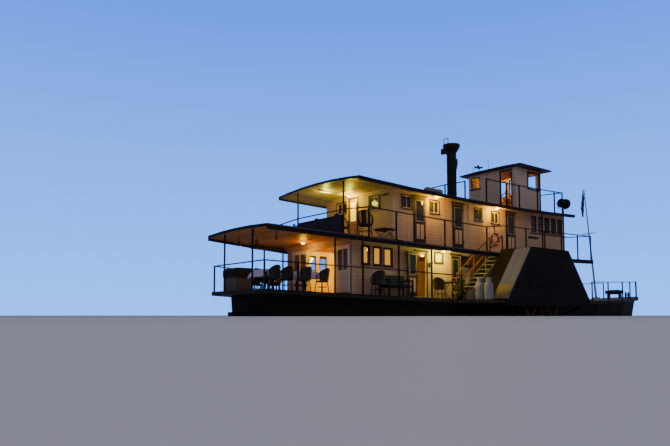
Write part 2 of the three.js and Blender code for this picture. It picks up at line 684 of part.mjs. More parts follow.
function buildStairs(side) {
  const { foot, head, inner, outer, treads } = stair;
  const low = mainTopAt(foot);
  const high = upperTopAt(head, inner);
  const rise = (high - low) / (treads + 1);
  const run = (head - foot) / (treads + 1);
  const pieces = [];
  const stringer = [
    [foot, low - 100], [foot + 260, low - 100], [head - seat, high - 330], [head - seat, high - 40],
    [foot, low + 170],
  ];
  for (const y of [inner, outer - 50]) {
    pieces.push(plate(stringer, ...(side > 0 ? [y, y + 50] : [-y - 50, -y])));
  }
  for (let i = 1; i <= treads; i++) {
    const x = foot + run * i;
    const z = low + rise * i;
    pieces.push(sideBox(side, x - 60, x + 170, inner + 20, outer - 20, z - 45, z));
  }
  const stringerTop = (x) => THREE.MathUtils.mapLinear(x, foot, head, low + 170, high - 40);
  const half = handrail.post / 2;
  const stanchions = [foot + 140, (foot + head) / 2, head - 120];
  for (const y of [inner + 25, outer - 25]) {
    const [first, last] = [stanchions[0], stanchions.at(-1)].map(
      (x) => [x, side * y, stringerTop(x) + handrail.height]);
    pieces.push(bar(first, last, handrail.post));
    for (const x of stanchions) {
      pieces.push(sideBox(side, x - half, x + half, y - half, y + half,
        stringerTop(x) - 80, stringerTop(x) + handrail.height));
    }
  }
  return join(pieces).subtract(belowMainDeck);
}

const stairwell = { x0: -4750, x1: -2400, inner: 2160, outer: 2935 };
const upperDeckJoints = [-9000, -2000]; // the upper deck is laid in three lengths, which meet here

function buildUpperDeck() {
  const { x0, x1, inner, outer } = stairwell;
  const holes = sides.map(([, side]) => sideBox(side, x0, x1, inner, outer, 2000, 3600));
  const funnelHole = bar([funnel.x, 0, 2500], [funnel.x, 0, 3300], (funnel.radius + 12) * 2, 24);
  const whole = cut(deck(upperLevel), [...holes, funnelHole]);
  const ends = [upperPlan[0][0] - 100, ...upperDeckJoints, upperPlan.at(-1)[0] + 100];
  ['aft', 'middle', 'forward'].forEach((name, i) => {
    const [aft, forward, half] = [ends[i] + seat / 2, ends[i + 1] - seat / 2, upperHalf + 100];
    const span = box(aft, forward, -half, half, 2000, 4000);
    addNode(`upper_deck_${name}`, whole.intersect(span), 'darkBrown');
  });
}

function buildUpperRoof() {
  const funnelHole = bar([funnel.x, 0, 4500], [funnel.x, 0, 5500], (funnel.radius + 12) * 2, 24);
  return deck(roofLevel).subtract(funnelHole);
}

// Railings: posts, some as tall as the deck above, tied by a top bar that follows the sheer
const pastDeckAbove = 2600;
const postCap = 6; // rise of a post's top over the bar that it carries

function railing(topAt, heightAt, route, tall, trims) {
  const pieces = [];
  const points = route.map(([x, y]) => [x, y, topAt(x, y) + heightAt(x) - rail.bar / 2]);
  for (let i = 0; i + 1 < points.length; i++) {
    pieces.push(bar(points[i], points[i + 1], rail.bar));
  }
  for (const [x, y] of route) {
    const isTall = tall.some(([tx, ty]) => tx === x && ty === Math.abs(y));
    pieces.push(post(x, y, topAt(x, y) - 60, topAt(x, y) + (isTall ? pastDeckAbove : heightAt(x) + postCap)));
  }
  return cut(join(pieces), trims);
}

function post(x, y, z0, z1) {
  const half = rail.post / 2;
  return box(x - half, x + half, y - half, y + half, z0, z1);
}

// Port half of a route from forward to the stern, then its mirror back along the starboard side.
const roundStern = (portRoute) => [...portRoute, ...portRoute.map(([x, y]) => [x, -y]).reverse()];

const inboard = (plan, x) => planAt(plan, x) - rail.inset;
const mainRailX = [-5400, -7200, -9000, -10500, -11600, -13000, -14190];
const mainRailRoute = [
  ...mainRailX.map((x) => [x, inboard(mainPlan, x)]),
  [-14190, 1000],
];
const tallPostX = [-7200, -9000, -10500, -11600];
const mainTallPosts = mainRailRoute.filter(([x, y]) => tallPostX.includes(x) || y === 1000);
const upperRailX = [4840, 3585, 2130, 690, -830, -2300, -3700, -6400, -9120, upperRailAft];
const upperRailRoute = [
  ...upperRailX.map((x) => [x, upperHalf - 90]),
  [upperRailAft, 1500],
];
const upperTallPosts = [[upperRailAft, 1500]];
const upperHeightAt = (x) => (x > stairwell.x1 ? rail.upperForward : rail.upper);
const roofPost = { x: 990, y: 2645 }; // post under the roof's lip on each side, tied to the railing
const topRailX = [-3150, -1680, -700, 780, 2240, 2950];
const topGate = -1350; // the top deck's aft railing stops here, leaving a way to the ladder

function buildUpperRailing() {
  const trims = [belowUpperDeck, aboveRoofUnderside];
  const loop = [[4840, 0], ...roundStern(upperRailRoute), [4840, 0]];
  const pieces = [railing(upperTopAt, upperHeightAt, loop, upperTallPosts, trims)];
  const { x, y } = roofPost;
  const lipBottom = roofTopAt(x - rail.post / 2, roofHalf) - roofLevel.thickness - roofLevel.lip - seat;
  for (const [, side] of sides) {
    const tieZ = upperTopAt(x, y) + rail.upperForward - 60;
    pieces.push(post(x, side * y, upperTopAt(x, y) - 60, lipBottom).subtract(belowUpperDeck));
    pieces.push(bar([x, side * y, tieZ], [x, side * (upperHalf - 90), tieZ], rail.bar));
  }
  return join(pieces);
}

function buildRailings() {
  addNode('main_deck_railing', railing((x) => mainTopAt(x), () => rail.main, roundStern(mainRailRoute),
    mainTallPosts, [belowMainDeck, aboveUpperUnderside]), 'glossBlack');
  addNode('upper_deck_railing', buildUpperRailing(), 'glossBlack');
  const topSide = topRailX.map((x) => [x, 2550]);
  const topRoute = [...topSide.map(([x, y]) => [x, -y]), [2950, 0], ...topSide.reverse(),
    [-3150, 1200], [-3150, -150], [-3150, topGate]];
  addNode('top_deck_railing', railing(roofTopAt, () => rail.top, topRoute, [], [belowRoof]), 'glossBlack');
  for (const [name, side] of sides) {
    const route = [4900, 6800, 8700, 10500, 12200, 13600].map((x) => [x, side * inboard(mainPlan, x)]);
    const foredeckRailing = railing((x) => mainTopAt(x), () => rail.main, route, [], [belowMainDeck]);
    addNode(`foredeck_railing_${name}`, foredeckRailing, 'glossBlack');
  }
}

// The board on the aft railing that would carry the name, left bare

function buildSternBoard() {
  const half = 1500 - rail.post / 2 - seat;
  const low = upperTopAt(upperRailAft, 0) + 90;
  const high = low + 740;
  return box(upperRailAft - 20, upperRailAft + 20, -half, half, low, high);
}

// Searchlight on a pedestal at the roof's forward corner
const searchlight = { x: 3430, y: -2300, height: 570, radius: 240, length: 600 };

function buildSearchlight() {
  const { x, y, height, radius, length } = searchlight;
  const foot = roofTopAt(x, y) - 40;
  const axis = foot + 40 + height;
  const along = (from, to, width, endWidth) => (
    bar([x + from, y, axis], [x + to, y, axis], width, 20, endWidth)
  );
  return join([
    along(-length / 2 + 60, length / 2 - 60, radius * 1.6, radius * 1.9),
    along(length / 2 - 130, length / 2, radius * 2, radius * 2),
    along(-length / 2, -length / 2 + 160, radius * 1.1, radius * 1.75),
    bar([x, y, foot], [x, y, axis], 70, 8),
    bar([x, y, foot], [x, y, foot + 80], 260, 12),
  ]).subtract(belowRoof);
}

// Raked mast on the foredeck
const mast = { footX: 10700, topX: 9640, top: 7700, footWidth: 130, topWidth: 50 };

function buildMast() {
  const { footX, topX, top, footWidth, topWidth } = mast;
  const foot = mainTopAt(footX);
  const pole = bar([footX, 0, foot - 40], [topX, 0, top], footWidth, 10, topWidth);
  const step = box(footX - 160, footX + 160, -160, 160, foot - 40, foot + 140);
  const armX = THREE.MathUtils.mapLinear(5000, foot, top, footX, topX);
  const arm = bar([armX, -450, 5000], [armX, 450, 5000], 50, 6);
  return join([pole, step, arm]).subtract(belowMainDeck);
}

function buildWindlass() {
  const x = 12900;
  const deckZ = mainTopAt(x);
  const axle = deckZ + 380;
  const axles = [[560, 90], [300, 260]];
  const pieces = axles.map(([half, width]) => bar([x, -half, axle], [x, half, axle], width, 12));
  for (const y of [-360, 360]) {
    pieces.push(box(x - 140, x + 140, y - 40, y + 40, deckZ - 60, axle + 120));
  }
  for (const y of [-480, 480]) pieces.push(bar([x, y - 70, axle], [x, y + 70, axle], 200, 12));
  return join(pieces).subtract(belowMainDeck);
}

// Boiler under the funnel and the engine just forward of the shaft, each a plain block

function buildMachinery() {
  const boiler = box(-3650, -1760, -750, 750, 500, funnel.foot - seat).subtract(belowMainDeck);
  addNode('boiler', boiler, 'iron');
  const engine = box(-1200, 900, -600, 600, 500, 1550).subtract(belowMainDeck);
  addNode('engine', engine, 'iron');
}

// Rudder hung on the transom by pintles

function buildRudder() {
  const { x, low, high, thickness, stock, gudgeons, collar } = rudder;
  const notch = box(x - 110, x + 110, -100, 100, gudgeons[0] - 40, gudgeons[0] + gudgeon.height + 40);
  const blade = box(x - rudder.blade, x, -thickness / 2, thickness / 2, low, 150).subtract(notch);
  const seatZ = gudgeons[1] + gudgeon.height + seat;
  return join([
    blade,
    bar([x, 0, low], [x, 0, high], stock, 12),
    bar([x, 0, seatZ], [x, 0, seatZ + collar], stock + 50, 12),
  ]);
}

// Dining tables on the aft deck, each a top on a pedestal
const diningTables = [[-12300, 1250], [-13450, -900], [-12300, -1350], [-12450, -50]];

function buildTable(x, y) {
  const floor = mainTopAt(x);
  const pieces = [
    box(x - 400, x + 400, y - 400, y + 400, floor + 710, floor + 745),
    bar([x, y, floor + 20], [x, y, floor + 720], 70, 8),
    box(x - 260, x + 260, y - 40, y + 40, floor - 60, floor + 40),
    box(x - 40, x + 40, y - 260, y + 260, floor - 60, floor + 40),
  ];
  return join(pieces).subtract(belowMainDeck);
}

// Covered locker at the port quarter: a body and an overhanging lid with rounded shoulders
const locker = {
  x: -13600, y: 1000, length: 700, width: 900, height: 560, lid: 340, overhang: 40, rounding: 80,
};

function buildLocker() {
  const { x, y, length, width, height, lid, overhang, rounding } = locker;
  const floor = mainTopAt(x);
  const half = length / 2;
  const top = half + overhang;
  const body = box(x - half, x + half, y - width / 2, y + width / 2, floor - 80, floor + height + 20);
  const [lidFoot, shoulder, lidTop] = [0, lid - rounding, lid].map((z) => floor + height + z);
  const profile = [
    [x - top, lidFoot], [x + top, lidFoot], [x + top, shoulder], [x + top - rounding, lidTop],
    [x - top + rounding, lidTop], [x - top, shoulder],
  ];
  return body.add(plate(profile, y - width / 2 - overhang, y + width / 2 + overhang)).subtract(belowMainDeck);
}

// Bench on the starboard side deck, with its back to the cabin wall
const bench = { x0: -9300, x1: -8000, back: -2170, depth: 560, seat: 430, height: 850, leg: 60 };

function buildBench() {
  const { x0, x1, back, depth, height, leg } = bench;
  const floor = Math.min(mainTopAt(x0), mainTopAt(x1));
  const seatZ = floor + bench.seat;
  const front = back - depth;
  const pieces = [
    box(x0, x1, front, back, seatZ - 60, seatZ),
    box(x0, x1, back - 60, back, seatZ - 60, floor + height),
  ];
  for (const x of [x0, x1 - leg]) {
    pieces.push(box(x, x + leg, front, front + leg, floor - 60, seatZ + 240));
    pieces.push(box(x, x + leg, back - leg, back, floor - 60, seatZ));
    pieces.push(box(x, x + leg, front, back, seatZ + 180, seatZ + 240));
  }
  return join(pieces).subtract(belowMainDeck);
}

// Gas bottles on the starboard guard, as [x, y]
const gasBottles = [[-4900, -3460], [-4880, -3900]];
// Columns: radius and height above the foot, from the foot up over the shoulder, the collar and the valve.
const bottleProfile = [
  [0, 0], [150, 0], [160, 30], [185, 60], [185, 600], [165, 680], [110, 730], [110, 830], [98, 830],
  [98, 735], [30, 735], [30, 790], [0, 790],
];

function buildGasBottle(x, y) {
  return turned(bottleProfile.map(([r, z]) => [r, z + paddleBox.base]), x, y, 20);
}

addNode('hull', buildHull(), 'hullBlack');
addNode('main_deck', buildMainDeck(), 'deckWood');
for (const [name, side] of sides) {
  addNode(`sponson_${name}`, buildSponson(side), 'hullBlack');
  addNode(`paddle_box_${name}`, buildPaddleBox(side), 'glossBlack');
  addNode(`stairs_${name}`, buildStairs(side), 'orangeWood');
}
addNode('paddle_wheels', buildPaddleWheels(), 'red');
buildMachinery();
buildLowerCabin();
buildSaloonDoors();
buildUpperDeck();
buildUpperCabin();
addNode('upper_roof', buildUpperRoof(), 'darkBrown');
buildWheelhouse();
buildHelm();
addNode('funnel', buildFunnel(), 'glossBlack');
buildRailings();
addNode('stern_board', buildSternBoard(), 'navy');
addNode('searchlight', buildSearchlight(), 'glossBlack');
addNode('mast', buildMast(), 'cream');
addNode('windlass', buildWindlass(), 'iron');
addNode('rudder', buildRudder(), 'hullBlack');
diningTables.forEach(([x, y], i) => addNode(`dining_table_${i + 1}`, buildTable(x, y), 'orangeWood'));
addNode('deck_locker', buildLocker(), 'paleGrey');
addNode('side_bench', buildBench(), 'glossBlack');
gasBottles.forEach(([x, y], i) => addNode(`gas_bottle_${i + 1}`, buildGasBottle(x, y), 'paleGrey'));

export default part;
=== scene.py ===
import math
import random

import bmesh
import bpy
from mathutils import Matrix, Vector


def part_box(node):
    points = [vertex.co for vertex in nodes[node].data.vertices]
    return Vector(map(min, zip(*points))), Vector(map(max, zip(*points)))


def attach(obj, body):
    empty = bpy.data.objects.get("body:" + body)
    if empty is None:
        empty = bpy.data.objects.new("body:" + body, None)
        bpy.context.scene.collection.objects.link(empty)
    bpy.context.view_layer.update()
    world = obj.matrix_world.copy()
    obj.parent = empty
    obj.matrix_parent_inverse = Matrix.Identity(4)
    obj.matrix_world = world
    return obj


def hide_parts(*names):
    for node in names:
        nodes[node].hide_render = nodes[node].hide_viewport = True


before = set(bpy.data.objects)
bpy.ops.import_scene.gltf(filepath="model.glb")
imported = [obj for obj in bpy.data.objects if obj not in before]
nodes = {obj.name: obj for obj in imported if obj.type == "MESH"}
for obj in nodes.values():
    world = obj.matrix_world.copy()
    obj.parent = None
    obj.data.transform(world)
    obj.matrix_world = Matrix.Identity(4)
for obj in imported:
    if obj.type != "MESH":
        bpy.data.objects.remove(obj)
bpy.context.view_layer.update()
scene = bpy.context.scene
rng = random.Random(11)
sides = (("starboard", -1), ("port", 1))
print("frame loaded:", len(nodes), "nodes")

# The decks' heights, as the solids have them: rate and lowest point of each sheer
hullSheer = (0.0019, -2.5)
roofSheer = (0.0030, -3.7)


def sheer(x, curve=hullSheer):
    rate, lowest = curve
    start = math.floor(x / 2) * 2
    low, high = (rate * (knot - lowest) ** 2 for knot in (start, start + 2))
    return low + (high - low) * (x - start) / 2


def mainTop(x, y=0.0):
    return 0.665 + sheer(x)


def upperTop(x, y=0.0):
    return 2.77 + 0.15 * (1 - min(1, abs(y) / 3.04) ** 2) + sheer(x)


def roofTop(x, y=0.0):
    return 5.0 + 0.15 * (1 - min(1, abs(y) / 2.68) ** 2) + sheer(x, roofSheer)


def planAt(plan, x):
    for (x0, w0), (x1, w1) in zip(plan, plan[1:]):
        if x <= x1:
            return w0 + (w1 - w0) * (x - x0) / (x1 - x0)
    return plan[-1][1]


mainPlan = [(-14.25, 1.88), (-9, 3.06), (4.6, 3.06), (8.5, 2.78), (12, 1.9), (14.2, 0.9), (15.2, 0.15)]
upperPlan = [(-14.3, 2.15), (-9, 3.04), (4.9, 3.04)]
roofPlan = [(-10.7, 2.68), (3.9, 2.68)]
cabin = {"half": 2.1, "trim": 2.1005, "wall": 0.06, "lowerAft": -10.6, "upperAft": -8.5, "forward": 3.8}

# Camera at the water's level off the starboard quarter
view = {"place": (-25.3, -19.5, 0.03), "forward": (0.6225, 0.7789, 0.0759), "lens": 33.18, "shift": 45.4 / 670}
camera = bpy.data.objects.new("camera", bpy.data.cameras.new("camera"))
scene.collection.objects.link(camera)
camera.data.sensor_width = 36
camera.data.lens = view["lens"]
camera.data.shift_y = view["shift"]
camera.data.clip_end = 600
camera.location = view["place"]
camera.rotation_euler = Vector(view["forward"]).to_track_quat("-Z", "Y").to_euler()
scene.camera = camera


# Shader helpers

def connect(tree, node, values):
    for socket, value in values.items():
        if isinstance(value, bpy.types.NodeSocket):
            tree.links.new(value, node.inputs[socket])
        elif node.inputs[socket].type == "RGBA":
            node.inputs[socket].default_value = (*value, 1.0)
        else:
            node.inputs[socket].default_value = value
    return node


def addNode(tree, kind, values=None, **settings):
    node = tree.nodes.new(kind)
    for key, value in settings.items():
        setattr(node, key, value)
    return connect(tree, node, values or {})


def calc(tree, operation, *values):
    return addNode(tree, "ShaderNodeMath", dict(enumerate(values)), operation=operation).outputs[0]


def times(tree, *values):
    return calc(tree, "MULTIPLY", *values)


def axes(tree, vector):
    return addNode(tree, "ShaderNodeSeparateXYZ", {0: vector}).outputs


def spread(tree, value, low, high, toLow=0.0, toHigh=1.0):
    values = {"Value": value, "From Min": low, "From Max": high, "To Min": toLow, "To Max": toHigh}
    return addNode(tree, "ShaderNodeMapRange", values, clamp=True).outputs["Result"]


def tint(tree, factor, first, second):
    values = {0: factor, 6: first, 7: second}
    return addNode(tree, "ShaderNodeMix", values, data_type="RGBA").outputs[2]


def stretch(tree, vector, factors):
    node = addNode(tree, "ShaderNodeVectorMath", {0: vector, 1: factors}, operation="MULTIPLY")
    return node.outputs["Vector"]


def noise(tree, vector, scale, detail=2.0, distortion=0.0):
    values = {"Vector": vector, "Scale": scale, "Detail": detail, "Distortion": distortion}
    return addNode(tree, "ShaderNodeTexNoise", values).outputs["Fac"]


def newGroup(name, inputs, outputs):
    tree = bpy.data.node_groups.new(name, "ShaderNodeTree")
    for label, kind, value in inputs:
        socket = tree.interface.new_socket(label, in_out="INPUT", socket_type="NodeSocket" + kind)
        if value is not None:
            socket.default_value = value
    for label in outputs:
        tree.interface.new_socket(label, in_out="OUTPUT", socket_type="NodeSocketFloat")
    return tree, tree.nodes.new("NodeGroupInput").outputs, tree.nodes.new("NodeGroupOutput").inputs


def useGroup(tree, group, values):
    node = tree.nodes.new("ShaderNodeGroup")
    node.node_tree = group
    return connect(tree, node, values).outputs


# Boards or planks stacked along one axis: the joint between two, the lap's slope and a value for each board
def makeBoardLines():
    inputs = [("Across", "Float", 0.0), ("Pitch", "Float", 0.12), ("Joint", "Float", 0.08)]
    tree, given, result = newGroup("boardLines", inputs, ["Joint", "Lap", "Board"])
    count = calc(tree, "DIVIDE", given["Across"], given["Pitch"])
    part = calc(tree, "FRACT", count)
    edge = calc(tree, "MINIMUM", part, calc(tree, "SUBTRACT", 1.0, part))
    joint = addNode(tree, "ShaderNodeMapRange", {
        "Value": edge, "From Min": times(tree, given["Joint"], 0.4), "From Max": given["Joint"],
        "To Min": 1.0, "To Max": 0.0}, clamp=True).outputs["Result"]
    tree.links.new(joint, result["Joint"])
    tree.links.new(part, result["Lap"])
    white = addNode(tree, "ShaderNodeTexWhiteNoise", {"W": calc(tree, "FLOOR", count)}, noise_dimensions="1D")
    tree.links.new(white.outputs["Value"], result["Board"])
    return tree


# Weather: runs of dirt down a face, soft blotches and a fine grain
def makeWeather():
    inputs = [("Vector", "Vector", None), ("Size", "Float", 1.0)]
    tree, given, result = newGroup("weather", inputs, ["Runs", "Blotch", "Grain"])
    sized = addNode(tree, "ShaderNodeVectorMath", {0: given["Vector"], "Scale": given["Size"]},
                    operation="SCALE").outputs["Vector"]
    runs = noise(tree, stretch(tree, sized, (5.0, 5.0, 0.45)), 1.2, 4.0)
    tree.links.new(spread(tree, runs, 0.5, 0.72), result["Runs"])
    tree.links.new(spread(tree, noise(tree, sized, 0.9, 5.0, 0.4), 0.38, 0.68), result["Blotch"])
    tree.links.new(noise(tree, sized, 38.0, 3.0), result["Grain"])
    return tree


# Figure of sawn wood along the stretched axis
def makeWoodFigure():
    tree, given, result = newGroup("woodFigure", [("Vector", "Vector", None)], ["Figure"])
    coarse = noise(tree, given["Vector"], 3.0, 3.0, 1.2)
    fine = noise(tree, given["Vector"], 14.0, 4.0, 0.6)
    mixed = calc(tree, "ADD", times(tree, coarse, 0.6), times(tree, fine, 0.4))
    tree.links.new(spread(tree, mixed, 0.36, 0.64), result["Figure"])
    return tree


# Woven threads, crossing at right angles on the given vector's x and y
def makeWeave():
    inputs = [("Vector", "Vector", None), ("Threads", "Float", 60.0)]
    tree, given, result = newGroup("weave", inputs, ["Height", "Gap"])
    parts = axes(tree, given["Vector"])
    waves = [calc(tree, "SINE", times(tree, parts[axis], given["Threads"])) for axis in (0, 1)]
    height = times(tree, waves[0], waves[1])
    tree.links.new(spread(tree, height, -1.0, 1.0), result["Height"])
    tree.links.new(spread(tree, calc(tree, "ABSOLUTE", height), 0.0, 0.35, 1.0, 0.0), result["Gap"])
    return tree


boardLines, weather, woodFigure, weave = makeBoardLines(), makeWeather(), makeWoodFigure(), makeWeave()


def startMaterial(name, fixed):
    material = bpy.data.materials.new(name)
    material.use_nodes = True
    tree = material.node_tree
    shader = tree.nodes["Principled BSDF"]
    connect(tree, shader, fixed)
    return material, tree, shader, addNode(tree, "ShaderNodeTexCoord").outputs["Object"]


# The common start and end of a surface that weathers; the end gives back its material
def startWeathered(name, fixed, size):
    material, tree, shader, place = startMaterial(name, fixed)
    marks = useGroup(tree, weather, {"Vector": place, "Size": size})

    def finish(paint, rough, height, strength, distance):
        bump = addNode(tree, "ShaderNodeBump", {"Strength": strength, "Distance": distance, "Height": height})
        roughness = spread(tree, marks["Grain"], 0.3, 0.7, *rough)
        connect(tree, shader, {"Base Color": paint, "Roughness": roughness, "Normal": bump.outputs["Normal"]})
        return material

    return tree, place, marks, finish


# Painted or bare boards: light and dark boards, the joint's colour and dirt
def boardPaint(name, light, dark, joint, dirt, stacked="Z", pitch=0.12, gap=0.08, lap=0.0, rough=(0.45, 0.75),
               soiled=0.5, size=1.0, depth=0.008, fixed=None):
    tree, place, marks, finish = startWeathered(name, fixed or {}, size)
    parts = axes(tree, place)
    lines = useGroup(tree, boardLines, {"Across": parts[stacked], "Pitch": pitch, "Joint": gap})
    paint = tint(tree, lines["Board"], light, dark)
    paint = tint(tree, times(tree, marks["Blotch"], soiled * 0.55), paint, dirt)
    paint = tint(tree, times(tree, marks["Runs"], soiled), paint, dirt)
    paint = tint(tree, times(tree, lines["Joint"], 0.85), paint, joint)
    height = calc(tree, "SUBTRACT", times(tree, lines["Lap"], -lap), lines["Joint"])
    height = calc(tree, "ADD", height, times(tree, marks["Grain"], 0.12))
    return finish(paint, rough, height, 0.7, depth)


# A deck seen from all sides: planks on top, paint at its edge, lit boards below
def deckPaint(name, top, topDark, edge, under, underDark, pitch=0.14, underRough=(0.35, 0.6), fixed=None):
    tree, place, marks, finish = startWeathered(name, fixed or {}, 1.4)
    parts = axes(tree, place)
    lines = useGroup(tree, boardLines, {"Across": parts["Y"], "Pitch": pitch, "Joint": 0.06})
    figure = useGroup(tree, woodFigure, {"Vector": stretch(tree, place, (0.7, 9.0, 9.0))})["Figure"]
    facing = addNode(tree, "ShaderNodeNewGeometry").outputs["Normal"]
    upward = axes(tree, facing)["Z"]
    planks = tint(tree, lines["Board"], top, topDark)
    planks = tint(tree, times(tree, figure, 0.4), planks, topDark)
    planks = tint(tree, times(tree, marks["Blotch"], 0.35), planks, (0.09, 0.085, 0.08))
    ceiling = tint(tree, times(tree, figure, 0.6), under, underDark)
    ceiling = tint(tree, times(tree, lines["Board"], 0.3), ceiling, underDark)
    side = tint(tree, times(tree, marks["Runs"], 0.6), edge, (0.05, 0.045, 0.045))
    paint = tint(tree, spread(tree, upward, 0.5, 0.7), side, planks)
    paint = tint(tree, spread(tree, upward, -0.5, -0.7), paint, ceiling)
    flat = spread(tree, calc(tree, "ABSOLUTE", upward), 0.5, 0.7)
    joint = times(tree, lines["Joint"], flat)
    paint = tint(tree, times(tree, joint, 0.7), paint, (0.02, 0.016, 0.014))
    height = calc(tree, "SUBTRACT", times(tree, figure, 0.15), joint)
    return finish(paint, underRough, height, 0.6, 0.006)


# Paint, enamel or bare metal without boards: base, soft variation and what shows where it is worn
def coat(name, base, varied, worn, rough=(0.3, 0.5), wear=0.25, size=1.0, bump=0.15, fixed=None):
    tree, place, marks, finish = startWeathered(name, fixed or {}, size)
    paint = tint(tree, times(tree, marks["Blotch"], 0.7), base, varied)
    chips = spread(tree, noise(tree, place, 26.0 * size, 4.0, 0.5), 0.62, 0.68)
    chips = times(tree, chips, times(tree, marks["Blotch"], wear * 2))
    paint = tint(tree, chips, paint, worn)
    paint = tint(tree, times(tree, marks["Runs"], wear), paint, worn)
    height = calc(tree, "SUBTRACT", marks["Grain"], times(tree, chips, 0.6))
    return finish(paint, rough, height, bump, 0.004)


# Varnished or stained wood with its figure along one axis
def woodFinish(name, light, dark, along=(0.8, 9.0, 9.0), rough=(0.25, 0.45), fixed=None):
    tree, place, marks, finish = startWeathered(name, fixed or {"Coat Weight": 0.3, "Coat Roughness": 0.2}, 2.0)
    figure = useGroup(tree, woodFigure, {"Vector": stretch(tree, place, along)})["Figure"]
    paint = tint(tree, figure, light, dark)
    paint = tint(tree, times(tree, marks["Blotch"], 0.3), paint, dark)
    return finish(paint, rough, figure, 0.2, 0.002)


# Cloth on its own UV map, which is in metres
def clothFinish(name, light, shade, threads=700.0, rolled=False):
    tree, place, marks, finish = startWeathered(name, {"Sheen Weight": 0.3}, 3.0)
    flat = addNode(tree, "ShaderNodeTexCoord").outputs["UV"]
    if rolled:
        parts = axes(tree, place)
        flat = addNode(tree, "ShaderNodeCombineXYZ", {0: parts["X"], 1: calc(tree, "ADD", parts["Y"], parts["Z"])})
        flat = flat.outputs[0]
    threadsUp = useGroup(tree, weave, {"Vector": flat, "Threads": threads})
    paint = tint(tree, times(tree, threadsUp["Gap"], 0.5), light, shade)
    paint = tint(tree, times(tree, marks["Blotch"], 0.4), paint, shade)
    return finish(paint, (0.75, 0.95), threadsUp["Height"], 0.3, 0.001)


# A lit lamp glass or panel, a little brighter in its middle parts
def glow(name, colour, edge, strength):
    fixed = {"Emission Strength": strength, "Roughness": 0.4}
    material, tree, shader, place = startMaterial(name, fixed)
    soft = spread(tree, noise(tree, place, 9.0, 2.0), 0.35, 0.65)
    lit = tint(tree, soft, colour, edge)
    tree.links.new(lit, shader.inputs["Base Color"])
    tree.links.new(lit, shader.inputs["Emission Color"])
    return material


